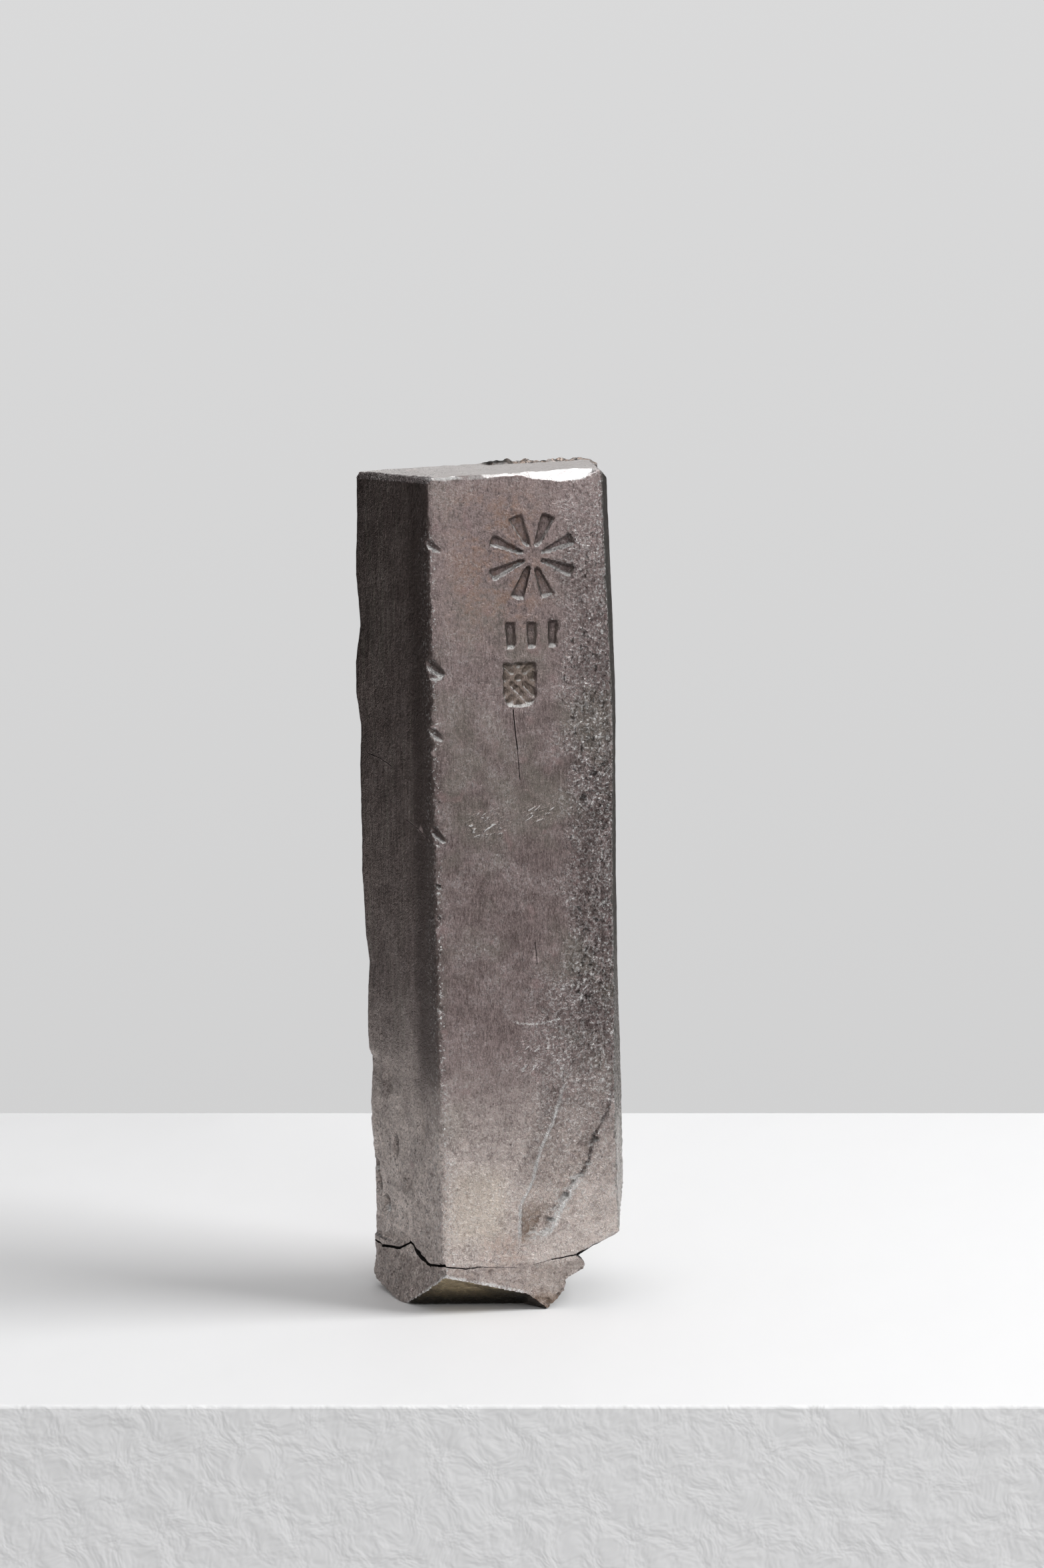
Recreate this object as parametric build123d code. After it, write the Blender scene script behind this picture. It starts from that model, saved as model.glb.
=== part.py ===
from build123d import *
import math
import os

# A cast silver ingot that stands on its worn lower end, marked face toward -Y, in millimetres.
# While it is being shaped, x = 0 is the left front edge at lean_height, y = 0 is the marked face
# and z = 0 is the floor. At the end the bottom centre of its box is moved to the origin.

# Overall sizes
bar_height = 162.0          # floor to the top of the marked face
face_width = 34.4           # marked face at lean_height
bar_depth = 27.8            # marked face to back face
left_draft_top = 9.0        # how much the left side spreads from front to back, high up
lean_per_mm = 0.0180        # the bar leans to -X as it rises
lean_height = 96.0          # height at which the lean shifts nothing
taper_length = 50.0         # the right side closes in over this length below the top
taper_amount = 0.8          # how far it has closed in at the top
foot_spread = 0.2           # how much further out each side is at the floor
left_draft_low = 8.3        # spread of the left side near the floor
right_draft_low = 9.1       # spread of the right side near the floor
right_draft_mid = 8.5       # and at mid height

# Rounding of the four long edges
front_edge_radius = 0.8
back_edge_radius = 1.7

# Top end, as drops and rises from bar_height
left_corner_drop = 0.2
back_corner_drop = 1.1
right_corner_rise = 1.0
bevel_start = 9.3           # where the front bevel begins along the face
bevel_drop = 1.5            # lower line of the bevel
bevel_depth = 3.0           # how far it reaches into the top
left_chamfer_height = 1.4   # chamfer on the left edge of the top
left_chamfer_reach = 1.6
crust_start = 16.1          # lip of rough metal along the back of the top
crust_end_gap = 3.0         # from its right end to the back corner
crust_depth = 5.5
corner_cut_width = 3.4      # worn corner along the right edge of the top
corner_cut_height = 3.2
crust_height = 0.9          # how far it stands above bar_height

# Lower end
lap_height = 9.6            # height of the lap that runs around the lower end
end_cut_reach = 9.3         # slanted end of the bar at the right, along the face
end_cut_rise = 4.0          # how far it rises towards the right edge
toe_bulge = 1.2             # how far the layer under the lap stands out on the left
toe_back_bulge = 0.5        # and at the back
toe_inset = 6.8             # right end of that layer, from the right edge
foot_inset = 13.3           # right end of the foot, from the right edge
facet_height = 8.1          # smooth slanted face under the front, at x = 0
facet_depth = 9.6           # how far it runs back along the floor, at x = 0
facet_fall = 0.25           # how fast it drops to the right
facet_end_gap = 1.6         # from its right end to the right end of the foot
heel_reach = 7.5            # rounding of the lower end at the back
heel_height = 3.6
side_heel_reach = 7.2       # rounding of the lower end at the left
side_heel_height = 4.6
toe_corner_radius = 3.4

# Struck marks
stroke_depth = 1.1
star_from_left = 19.0
star_from_top = 15.5
star_rays = 8
star_inner = 2.2
star_outer = 8.2
star_stroke_width = 2.3
tally_from_left = 18.8
tally_from_top = 30.2
tally_count = 3
tally_pitch = 4.0
tally_length = 5.0
tally_width = 1.9
punch_from_left = 16.4
punch_from_top = 39.8
punch_width = 7.2
punch_height = 9.0
punch_depth = 0.8
punch_corner = 1.6
lattice_pitch = 2.4
lattice_bar = 0.55
lattice_relief = 0.4

# Cracks, nicks and the fold
crack_width = 0.36
crack_depth = 0.8
lap_width = 0.6
lap_depth = 1.4
crevice_width = 0.8
fold_depth = 0.7
fold_slope = 0.45
nick_depth = 0.9
margin = 5.0                # how far cutting blocks stand clear of the bar


def lean(z):
    return -(z - lean_height) * lean_per_mm


def left_edge(z):
    return lean(z) - foot_spread * (1 - z / bar_height)


def right_edge(z):
    closed = taper_amount * max(0.0, z - bar_height + taper_length) / taper_length
    return lean(z) + face_width + foot_spread * (1 - z / bar_height) - closed


def left_draft(z):
    share = min(1.0, max(0.0, (z - 20.0) / 90.0))
    return left_draft_low + (left_draft_top - left_draft_low) * share


def right_draft(z):
    share = min(1.0, max(0.0, (z - 20.0) / 40.0))
    return right_draft_low + (right_draft_mid - right_draft_low) * share


def section(z):
    # one level cut through the bar: the narrow marked face in front, the wide face behind
    with BuildSketch(Plane.XY.offset(z)) as level:
        with BuildLine():
            Polyline(
                (left_edge(z), 0),
                (right_edge(z), 0),
                (right_edge(z) + right_draft(z), bar_depth),
                (left_edge(z) - left_draft(z), bar_depth),
                close=True,
            )
        make_face()
        fillet(level.vertices().sort_by(Axis.Y)[-2:], back_edge_radius)
        fillet(level.vertices().sort_by(Axis.Y)[:2], front_edge_radius)
    return level.sketch.faces()[0]


def slab_from_front(points, y_from, y_to):
    # an outline in x and z, as seen from the front, made solid from y_from to y_to
    outline = Polyline(*[(x, y_from, z) for x, z in points], close=True)
    return extrude(make_face(outline), y_to - y_from, dir=(0, 1, 0))


def slab_from_left(points, x_from, x_to):
    # an outline in y and z made solid from x_from to x_to
    outline = Polyline(*[(x_from, y, z) for y, z in points], close=True)
    return extrude(make_face(outline), x_to - x_from, dir=(1, 0, 0))


def below_plane(a, b, c):
    # a block large enough for the whole bar, whose upper face passes through three points
    start = Vector(*a)
    along = Vector(*b) - start
    normal = along.cross(Vector(*c) - start)
    if normal.Z < 0:
        normal = -normal
    reach = 3 * bar_height
    block = Box(reach, reach, reach, align=(Align.CENTER, Align.CENTER, Align.MAX))
    return Plane(start, x_dir=along, z_dir=normal) * block


def stroke(x, z, length, width, depth, turn):
    # a chisel stroke in the marked face; turn is its tilt from upright in degrees
    lift = 0.5
    half = width * 0.5 * (depth + lift) / depth
    tip = length * 0.22
    cutter = Wedge(
        2 * half, depth + lift, length, half - 0.08, tip, half + 0.08, length - tip,
        align=(Align.CENTER, Align.MIN, Align.CENTER),
    )
    return Pos(x, -lift, z) * Rot(0, turn, 0) * cutter


def slit(start, end, inward, width, depth):
    # a thin crack between two points of the surface, cut in the direction inward
    a = Vector(*start)
    b = Vector(*end)
    along = (b - a).normalized()
    into = Vector(*inward).normalized()
    lift = 0.5
    cutter = Wedge(
        width * 1.5, depth + lift, (b - a).length + width,
        width * 0.65, 0.2, width * 0.85, (b - a).length + width - 0.2,
        align=(Align.CENTER, Align.MIN, Align.CENTER),
    )
    frame = Plane((a + b) * 0.5 - into * lift, x_dir=into.cross(along), z_dir=along)
    return frame * cutter


def slits(path, inward, width, depth):
    return [slit(start, end, inward, width, depth) for start, end in zip(path, path[1:])]


def left_point(t, z):
    # a point of the left side, t millimetres back from the front edge
    slant = math.hypot(left_draft(z), bar_depth)
    return (left_edge(z) - t * left_draft(z) / slant, t * bar_depth / slant, z)


side_length = math.hypot(left_draft_low, bar_depth)
top_right = right_edge(bar_height)
low_right = right_edge(lap_height)

# The bar itself
levels = (-1.0, 20.0, 60.0, bar_height - taper_length, bar_height + margin)
body = loft([section(z) for z in levels], ruled=True)

# Top end: one slanted cut, with a lip of rough metal left standing along the back
left_corner = (left_edge(bar_height), 0, bar_height - left_corner_drop)
back_corner = (left_edge(bar_height) - left_draft_top, bar_depth, bar_height - back_corner_drop)
right_corner = (top_right, bevel_depth, bar_height + right_corner_rise)
crust_length = top_right + right_draft(bar_height) - crust_end_gap - crust_start
crust_top = bar_height + crust_height
crust_points = [(crust_start, bar_height - margin), (crust_start, bar_height)]
for share, drop in ((0.03, 0.3), (0.2, 0.0), (0.34, 0.4), (0.46, 0.1), (0.6, 0.4), (0.72, 0.3), (0.88, 0.9)):
    crust_points.append((crust_start + share * crust_length, crust_top - drop))
crust_points.append((crust_start + crust_length, bar_height - 0.8))
crust_points.append((crust_start + crust_length + margin, bar_height - margin))
crust = slab_from_front(crust_points, bar_depth - crust_depth, bar_depth + margin)
body = body & (below_plane(left_corner, back_corner, right_corner) + crust)

bevel_low = bar_height - bevel_drop
bevel_length = top_right - bevel_start
bevel_outline = [
    (bevel_start, bar_height - 0.6),
    (bevel_start + 0.3 * bevel_length, bar_height - 0.1),
    (bevel_start + 0.42 * bevel_length, bevel_low + 0.5),
    (bevel_start + 0.64 * bevel_length, bevel_low),
    (bevel_start + 0.82 * bevel_length, bevel_low + 0.4),
    (bevel_start + 0.94 * bevel_length, bar_height + 0.2),
    (top_right + margin, bar_height + right_corner_rise + 0.6),
    (top_right + margin, bar_height + 2 * margin),
    (bevel_start, bar_height + 2 * margin),
]
bevel_block = slab_from_front(bevel_outline, -margin, bar_depth)
bevel_plane = below_plane(
    (0, 0, bevel_low),
    (face_width, 0, bevel_low),
    (0, bevel_depth, bar_height + right_corner_rise),
)
body = body - (bevel_block - bevel_plane)

chamfer_front = left_point(0, bar_height - left_corner_drop - left_chamfer_height)
chamfer_back = left_point(side_length, bar_height - back_corner_drop - left_chamfer_height)
chamfer_inner = (chamfer_front[0] + left_chamfer_reach, 0, bar_height)
body = body & below_plane(chamfer_front, chamfer_back, chamfer_inner)

corner_x = top_right + right_draft(bar_height)
worn_front = (top_right, 0, bar_height)
worn_inner = (corner_x - corner_cut_width, bar_depth, bar_height - 0.2)
worn_outer = (corner_x, bar_depth, bar_height - 0.2 - corner_cut_height)
body = body & below_plane(worn_front, worn_inner, worn_outer)

# Lower end: the bar is cut off slanting at the right, and a smaller layer sits under it
cut_low = lap_height + 0.9
end_outline = [
    (-face_width, lap_height - 0.4),
    (low_right + 0.4 - end_cut_reach, cut_low),
    (low_right + 0.4 - end_cut_reach * 0.7, cut_low + end_cut_rise * 0.2),
    (low_right + 0.4, cut_low + end_cut_rise),
    (low_right + 6 * margin, cut_low + end_cut_rise + 2.4 * margin),
    (low_right + 6 * margin, 2 * bar_height),
    (-face_width, 2 * bar_height),
]
upper_bar = body & slab_from_front(end_outline, -margin, bar_depth + margin)

toe_right = low_right - toe_inset
foot_right = low_right - foot_inset
toe_outline = [
    (-face_width, 0),
    (foot_right, 0),
    (foot_right + 2.6, 3.6),
    (foot_right + 2.9, 5.9),
    (toe_right - 0.2, 7.6),
    (toe_right, 9.1),
    (toe_right - 2.6, cut_low + 0.4),
    (-face_width, lap_height),
]
toe_back = bar_depth + toe_back_bulge
toe_side = [
    (-margin, 0),
    (bar_depth - heel_reach, 0),
    (bar_depth - heel_reach * 0.35, heel_height * 0.2),
    (bar_depth - 0.2, heel_height),
    (toe_back, heel_height + 1.6),
    (toe_back, heel_height + 3.8),
    (bar_depth - 0.5, cut_low + 0.5),
    (-margin, cut_low + 0.5),
]
toe_left = left_edge(5)
toe_plan = [
    (toe_left - toe_bulge * 0.2, 0),
    (toe_left - left_draft_low - toe_bulge, toe_back),
    (low_right + margin, toe_back),
    (low_right + margin, 0),
]
toe = extrude(make_face(Polyline(*[(x, y, 0) for x, y in toe_plan], close=True)), cut_low + margin)
toe = fillet(toe.edges().filter_by(Axis.Z).sort_by(Axis.X)[0], toe_corner_radius)
toe = toe & slab_from_front(toe_outline, -margin, toe_back + margin)
toe = toe & slab_from_left(toe_side, -2 * face_width, 3 * face_width)
heel_left = toe_left - left_draft_low - toe_bulge
side_heel = [
    (heel_left - margin, side_heel_height + 0.6),
    (heel_left, side_heel_height),
    (heel_left + side_heel_reach * 0.35, side_heel_height * 0.28),
    (heel_left + side_heel_reach, 0),
    (heel_left + side_heel_reach, -margin),
    (heel_left - margin, -margin),
]
toe = toe - slab_from_front(side_heel, bar_depth * 0.3, toe_back + margin)
ingot = upper_bar + toe

# The smooth face under the front of the lower end
facet = below_plane(
    (0, 0, facet_height),
    (1 / facet_fall, 0, facet_height - 1),
    (0, facet_depth, 0),
)
facet_end = (Align.MAX, Align.CENTER, Align.CENTER)
facet_limit = Box(3 * face_width, 2 * bar_depth, 3 * facet_height, align=facet_end)
facet_limit = Pos(foot_right - facet_end_gap, 0, 0) * facet_limit
ingot = ingot - (facet & facet_limit)

# The lap that runs around the lower end
lap_left = []
for share, rise in ((0.98, -0.2), (0.79, -0.5), (0.55, 0.5), (0.44, 2.0), (0.31, 0.8), (0.19, -0.7), (0.01, 0.0)):
    lap_left.append(left_point(share * side_length, lap_height + rise))
lap_front = []
for share, rise in ((0.01, 0.0), (0.16, -0.4), (0.24, -0.2), (0.36, -0.7), (0.48, -0.9), (0.63, 0.2), (0.76, 0.9)):
    lap_front.append((share * low_right, 0, lap_height + rise))
into_left = (bar_depth, left_draft_low, 0)
into_face = (0, 1, 0)
cuts = slits(lap_left, into_left, lap_width, lap_depth)
cuts += slits(lap_front, into_face, crack_width, crack_depth)

# The fold in the lower right of the marked face, measured from the right edge
fold_points = [
    (9.9, 45.0), (12.4, 37.1), (14.7, 31.7), (16.5, 25.4), (18.6, 20.8), (19.0, 15.6), (16.4, 14.0),
    (13.5, 15.6), (11.5, 20.2), (8.8, 24.9), (6.2, 28.4), (4.4, 34.0), (2.0, 39.0), (5.6, 43.0),
]
fold_side = right_edge(30.0)
fold = slab_from_front([(fold_side - x, z) for x, z in fold_points], -1, fold_depth)
fold = fillet(fold.edges().filter_by(Axis.Y), 0.6)
cuts.append(chamfer(fold.faces().sort_by(Axis.Y)[-1].edges(), fold_slope))

# Thin cracks in the marked face, the first one under the punch
star_x = star_from_left
star_z = bar_height - star_from_top
tally_z = bar_height - tally_from_top
punch_x = punch_from_left
punch_z = bar_height - punch_from_top
crack_top = punch_z - punch_height / 2
cuts += slits(
    [(punch_x - 1.1, 0, crack_top), (punch_x - 0.8, 0, crack_top - 5.7), (punch_x, 0, crack_top - 9.7),
     (punch_x + 0.2, 0, crack_top - 13.6)],
    into_face, crack_width, crack_depth,
)
cuts += slits([(19.6, 0, 72.4), (20.0, 0, 68.3)], into_face, crack_width, crack_depth)
cuts += slits([(25.2, 0, 47.4), (25.3, 0, 44.7)], into_face, crack_width, crack_depth)

# A crevice low on the left side
cuts += slits([left_point(25.6, 20.4), left_point(21.8, 17.2)], into_left, crevice_width, lap_depth)

# Nicks on the left front edge, and one on the right front edge
nicks = ((149.0, 2.6, 35), (125.6, 3.2, 30), (113.9, 2.0, 35), (94.6, 2.2, 40), (84.0, 1.4, 20), (60.5, 1.3, 30))
for z, size, tilt in nicks:
    wedge = Box(6, nick_depth * 2, size * 0.45)
    cuts.append(Pos(left_edge(z), 0, z) * Rot(0, 0, -36) * Rot(tilt, 0, 0) * wedge)
cuts.append(Pos(right_edge(47) + 0.4, 0.4, 47) * Rot(0, 0, 40) * Box(4, nick_depth * 1.2, 3.4))

# Struck marks: a chiselled star, a row of short strokes and a small punch with a lattice
middle = (star_inner + star_outer) / 2
for ray in range(star_rays):
    turn = 360 / star_rays * (ray + 0.5)
    x = star_x + middle * math.sin(math.radians(turn))
    z = star_z + middle * math.cos(math.radians(turn))
    cuts.append(stroke(x, z, star_outer - star_inner, star_stroke_width, stroke_depth, turn))
for place in range(tally_count):
    x = tally_from_left + (place - (tally_count - 1) / 2) * tally_pitch
    cuts.append(stroke(x, tally_z, tally_length, tally_width, stroke_depth, 0))

punch_frame = Plane((punch_x, 0, punch_z), x_dir=(1, 0, 0), z_dir=(0, -1, 0))
punch_outline = punch_frame * RectangleRounded(punch_width, punch_height, punch_corner)
punch = extrude(punch_outline, punch_depth, dir=into_face) + extrude(punch_outline, 1, dir=(0, -1, 0))
for step in (-1, 0, 1):
    for turn in (45, -45):
        bar = Pos(punch_x, punch_depth, punch_z) * Rot(0, turn, 0) * Pos(step * lattice_pitch, 0, 0)
        punch = punch - bar * Box(lattice_bar, lattice_relief * 2, punch_height * 2)
cuts.append(punch)

for cut in cuts:
    ingot = ingot - cut

# Move the bottom centre of the box to the origin
box = ingot.bounding_box()
ingot = Pos(-(box.min.X + box.max.X) / 2, -(box.min.Y + box.max.Y) / 2, -box.min.Z) * ingot

os.makedirs("parts", exist_ok=True)
export_step(ingot, "parts/ingot.step")
print("solids", len(ingot.solids()), "volume", round(ingot.volume / 1000, 1), "cm3")
print("before the move", box)
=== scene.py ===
import bpy
import math
import random
import numpy as np
from types import SimpleNamespace
from mathutils import Matrix, Vector


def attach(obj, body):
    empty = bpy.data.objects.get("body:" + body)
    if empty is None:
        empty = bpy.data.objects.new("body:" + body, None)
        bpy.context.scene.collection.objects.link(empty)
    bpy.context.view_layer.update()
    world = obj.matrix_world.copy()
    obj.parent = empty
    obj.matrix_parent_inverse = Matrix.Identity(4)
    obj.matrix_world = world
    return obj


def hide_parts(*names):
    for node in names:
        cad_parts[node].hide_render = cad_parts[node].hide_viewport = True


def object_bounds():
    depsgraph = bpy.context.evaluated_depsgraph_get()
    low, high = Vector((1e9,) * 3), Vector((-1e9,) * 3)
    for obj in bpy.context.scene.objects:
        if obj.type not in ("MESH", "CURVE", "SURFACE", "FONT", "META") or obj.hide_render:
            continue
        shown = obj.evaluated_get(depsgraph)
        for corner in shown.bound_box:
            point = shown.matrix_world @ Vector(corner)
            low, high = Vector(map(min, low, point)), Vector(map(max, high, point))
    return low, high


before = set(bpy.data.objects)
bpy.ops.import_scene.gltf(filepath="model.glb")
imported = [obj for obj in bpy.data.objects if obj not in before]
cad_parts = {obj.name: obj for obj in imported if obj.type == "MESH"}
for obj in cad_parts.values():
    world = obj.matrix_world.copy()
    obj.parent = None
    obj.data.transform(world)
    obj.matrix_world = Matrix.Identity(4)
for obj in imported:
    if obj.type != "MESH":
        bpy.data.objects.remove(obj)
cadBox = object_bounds()
print("frame loaded")

# The bar is shaped in millimetres from its left front edge, its marked face and the floor.
# place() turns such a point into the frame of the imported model.
centreX = 17.466
centreY = 14.15


def place(x, y, z):
    return Vector(((x - centreX) / 1000, (y - centreY) / 1000, z / 1000))


# Shaping tools: each one is a few steps of ordinary edit-mode work

def deselectAll():
    bpy.ops.object.select_all(action="DESELECT")


def makeActive(piece):
    deselectAll()
    piece.select_set(True)
    bpy.context.view_layer.objects.active = piece


def inEditMode(piece, mode, test):
    # selects the verts, edges or faces whose middle passes the test, given in bar millimetres
    makeActive(piece)
    bpy.ops.object.mode_set(mode="EDIT")
    bpy.ops.mesh.select_mode(type=mode)
    bpy.ops.mesh.select_all(action="DESELECT")
    bpy.ops.object.mode_set(mode="OBJECT")
    mesh = piece.data
    items = {"VERT": mesh.vertices, "EDGE": mesh.edges, "FACE": mesh.polygons}[mode]
    for item in items:
        if mode == "VERT":
            middle, along = item.co, item.normal
        elif mode == "EDGE":
            a, b = (mesh.vertices[i].co for i in item.vertices)
            middle, along = (a + b) / 2, (b - a).normalized()
        else:
            middle, along = item.center, item.normal
        spot = Vector((middle.x * 1000 + centreX, middle.y * 1000 + centreY, middle.z * 1000))
        if test(spot, along):
            item.select = True
    bpy.ops.object.mode_set(mode="EDIT")


def leaveEditMode():
    bpy.ops.object.mode_set(mode="OBJECT")


def addBlock(name, low, high):
    # a cube primitive at its size and place, from one corner to the other
    a, b = place(*low), place(*high)
    deselectAll()
    bpy.ops.mesh.primitive_cube_add(size=1, location=(a + b) / 2, scale=b - a)
    piece = bpy.context.active_object
    piece.name = name
    bpy.ops.object.transform_apply(location=True, rotation=True, scale=True)
    return piece


def slide(piece, test, x=0.0, y=0.0, z=0.0):
    inEditMode(piece, "VERT", test)
    bpy.ops.transform.translate(value=(x / 1000, y / 1000, z / 1000))
    leaveEditMode()


def cutBy(piece, point, normal, keep="below"):
    # bisect: the plane passes through point, and the side that normal points to goes, unless both are kept
    makeActive(piece)
    bpy.ops.object.mode_set(mode="EDIT")
    bpy.ops.mesh.select_all(action="SELECT")
    bpy.ops.mesh.bisect(
        plane_co=place(*point), plane_no=Vector(normal).normalized(),
        use_fill=keep == "below", clear_outer=keep == "below",
    )
    leaveEditMode()


def roundEdges(piece, test, width, segments=3):
    inEditMode(piece, "EDGE", test)
    bpy.ops.mesh.bevel(offset=width / 1000, segments=segments, profile=0.5)
    leaveEditMode()


def combine(piece, other, operation):
    makeActive(piece)
    step = piece.modifiers.new("combine", "BOOLEAN")
    step.operation = operation
    step.solver = "EXACT"
    step.object = other
    bpy.ops.object.modifier_apply(modifier=step.name)
    bpy.data.objects.remove(other)


def addWedge(name, at, along, inward, width, depth, length, tip=0.15, ends=0.8, lift=0.5, start=1.0):
    # a chisel-shaped cutter: its mouth lies at a point of the surface, raised by a lift, and it narrows inwards.
    # tip, ends and start are what is left of its width inside, of its length inside and of its width at the start.
    along, inward = Vector(along).normalized(), Vector(inward)
    inward = (inward - along * inward.dot(along)).normalized()
    turn = Matrix((inward.cross(along), inward, along)).transposed().to_euler()
    deselectAll()
    bpy.ops.mesh.primitive_cube_add(
        size=1, rotation=turn, location=place(*at) + inward * (depth - lift) / 2000,
        scale=(width / 1000, (depth + lift) / 1000, length / 1000),
    )
    piece = bpy.context.active_object
    piece.name = name
    for test, value in ((lambda co: co.y > 0, (tip, 1, ends)), (lambda co: co.z < 0, (start, 1, 1))):
        for vert in piece.data.vertices:
            vert.select = test(vert.co)
        for item in [*piece.data.edges, *piece.data.polygons]:
            item.select = all(piece.data.vertices[i].select for i in item.vertices)
        bpy.ops.object.mode_set(mode="EDIT")
        bpy.ops.transform.resize(value=value, orient_type="LOCAL")
        bpy.ops.object.mode_set(mode="OBJECT")
    bpy.ops.object.transform_apply(location=True, rotation=True, scale=True)
    return piece


def addOutline(name, points, y):
    # a flat outline in the marked face's plane: a filled circle whose points are moved one by one
    deselectAll()
    bpy.ops.mesh.primitive_circle_add(
        vertices=len(points), radius=0.01, fill_type="NGON", location=place(0, y, 100), rotation=(math.pi / 2, 0, 0),
    )
    piece = bpy.context.active_object
    piece.name = name
    bpy.ops.object.transform_apply(location=True, rotation=True, scale=True)
    for index, (x, z) in enumerate(points):
        start = piece.data.vertices[index].co * 1000 + Vector((centreX, centreY, 0))
        slide(piece, lambda s, n: (s - start).length < 0.001, x=x - start.x, z=z - start.z)
    return piece


def planeThrough(a, b, c):
    # point and upward normal of the plane through three points
    a, b, c = Vector(a), Vector(b), Vector(c)
    normal = (b - a).cross(c - a).normalized()
    return a, normal if normal.z > 0 else -normal


# The cast bar

bar = {
    "height": 162.0,
    "faceWidth": 34.75,
    "depth": 27.75,
    "leanPerMm": 0.0180,
    "leanHeight": 96.0,
    "footSpread": 0.2,
    "taperLength": 50.0,
    "taper": 0.8,
    "leftDraft": (8.1, 9.0),            # near the floor, high up
    "rightDraft": (8.75, 8.15),         # near the floor, at mid height
    "draftStart": 20.0, "leftDraftRise": 90, "rightDraftRise": 40,
    "levels": (20.0, 60.0),             # heights where the sides may bend
    "spareBelow": 1.0, "spareAbove": 5.0,
    "frontRounding": 0.8,
    "backRounding": 1.7,
    "lapHeight": 9.6,
}


def lean(z):
    return -(z - bar["leanHeight"]) * bar["leanPerMm"]


def leftEdge(z):
    return lean(z) - bar["footSpread"] * (1 - z / bar["height"])


def rightEdge(z):
    closed = bar["taper"] * max(0.0, z - bar["height"] + bar["taperLength"]) / bar["taperLength"]
    return lean(z) + bar["faceWidth"] + bar["footSpread"] * (1 - z / bar["height"]) - closed


def leftDraft(z):
    low, high = bar["leftDraft"]
    return low + (high - low) * min(1, max(0, (z - bar["draftStart"]) / bar["leftDraftRise"]))


def rightDraft(z):
    low, mid = bar["rightDraft"]
    return low + (mid - low) * min(1, max(0, (z - bar["draftStart"]) / bar["rightDraftRise"]))


def leftPoint(t, z):
    slant = math.hypot(leftDraft(z), bar["depth"])
    return (leftEdge(z) - t * leftDraft(z) / slant, t * bar["depth"] / slant, z)


def makeBar():
    # a block whose corners are moved out to the leaning, tapered section at each level
    height, depth = bar["height"], bar["depth"]
    foot, head = -bar["spareBelow"], height + bar["spareAbove"]
    piece = addBlock("ingotBar", (0, 0, foot), (bar["faceWidth"], depth, head))
    levels = (*bar["levels"], height - bar["taperLength"])
    for z in levels:
        cutBy(piece, (0, 0, z), (0, 0, 1), keep="both")
    for z in (foot, *levels, head):
        moves = {
            (False, False): leftEdge(z),
            (False, True): leftEdge(z) - leftDraft(z),
            (True, False): rightEdge(z) - bar["faceWidth"],
            (True, True): rightEdge(z) - bar["faceWidth"] + rightDraft(z),
        }
        for (right, back), move in moves.items():
            slide(piece, lambda s, n: abs(s.z - z) < 0.01 and (s.x > 20) == right and (s.y > 1) == back, x=move)
    roundEdges(piece, lambda s, n: abs(n.z) > 0.99 and s.y > depth - 0.1, bar["backRounding"])
    roundEdges(piece, lambda s, n: abs(n.z) > 0.99 and s.y < 0.1, bar["frontRounding"], 2)
    return piece


topEnd = {
    "leftDrop": 0.2, "backDrop": 1.1, "rightRise": 1.0,
    "chamferHeight": 1.4, "chamferReach": 1.6,
    "wornWidth": 3.4, "wornHeight": 3.2,
    "bevelStart": 9.3, "bevelReach": 3.0,
    "bevelLine": ((0.0, -0.6), (0.3, -0.1), (0.42, -0.9), (0.64, -1.5), (0.82, -1.1), (0.94, 0.2), (1.1, 1.2)),
    "crustStart": 16.1, "crustEndGap": 3.0, "crustDepth": 5.2,
    "crustLine": (0.5, 0.75, 0.35, 0.9, 0.6, 0.2, 0.8, 0.5, 0.1, 0.6, 0.3, 0.5, 0.1, 0.3, 0.0, 0.1, -0.2),
}


def shapeTop(piece):
    height, depth = bar["height"], bar["depth"]
    right = rightEdge(height)
    crust = makeCrust(right)
    leftCorner = (leftEdge(height), 0, height - topEnd["leftDrop"])
    backCorner = (leftEdge(height) - leftDraft(height), depth, height - topEnd["backDrop"])
    rightCorner = (right, topEnd["bevelReach"], height + topEnd["rightRise"])
    cutBy(piece, *planeThrough(leftCorner, backCorner, rightCorner))
    chamferFront = (leftEdge(height), 0, height - topEnd["leftDrop"] - topEnd["chamferHeight"])
    chamferBack = (leftEdge(height) - leftDraft(height), depth, height - topEnd["backDrop"] - topEnd["chamferHeight"])
    cutBy(piece, *planeThrough(chamferFront, chamferBack, (leftEdge(height) + topEnd["chamferReach"], 0, height)))
    outer = right + rightDraft(height)
    wornInner = (outer - topEnd["wornWidth"], depth, height - 0.2)
    wornOuter = (outer, depth, height - 0.2 - topEnd["wornHeight"])
    cutBy(piece, *planeThrough((right, 0, height), wornInner, wornOuter))
    combine(piece, makeBevelCutter(right), "DIFFERENCE")
    combine(piece, crust, "UNION")


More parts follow.
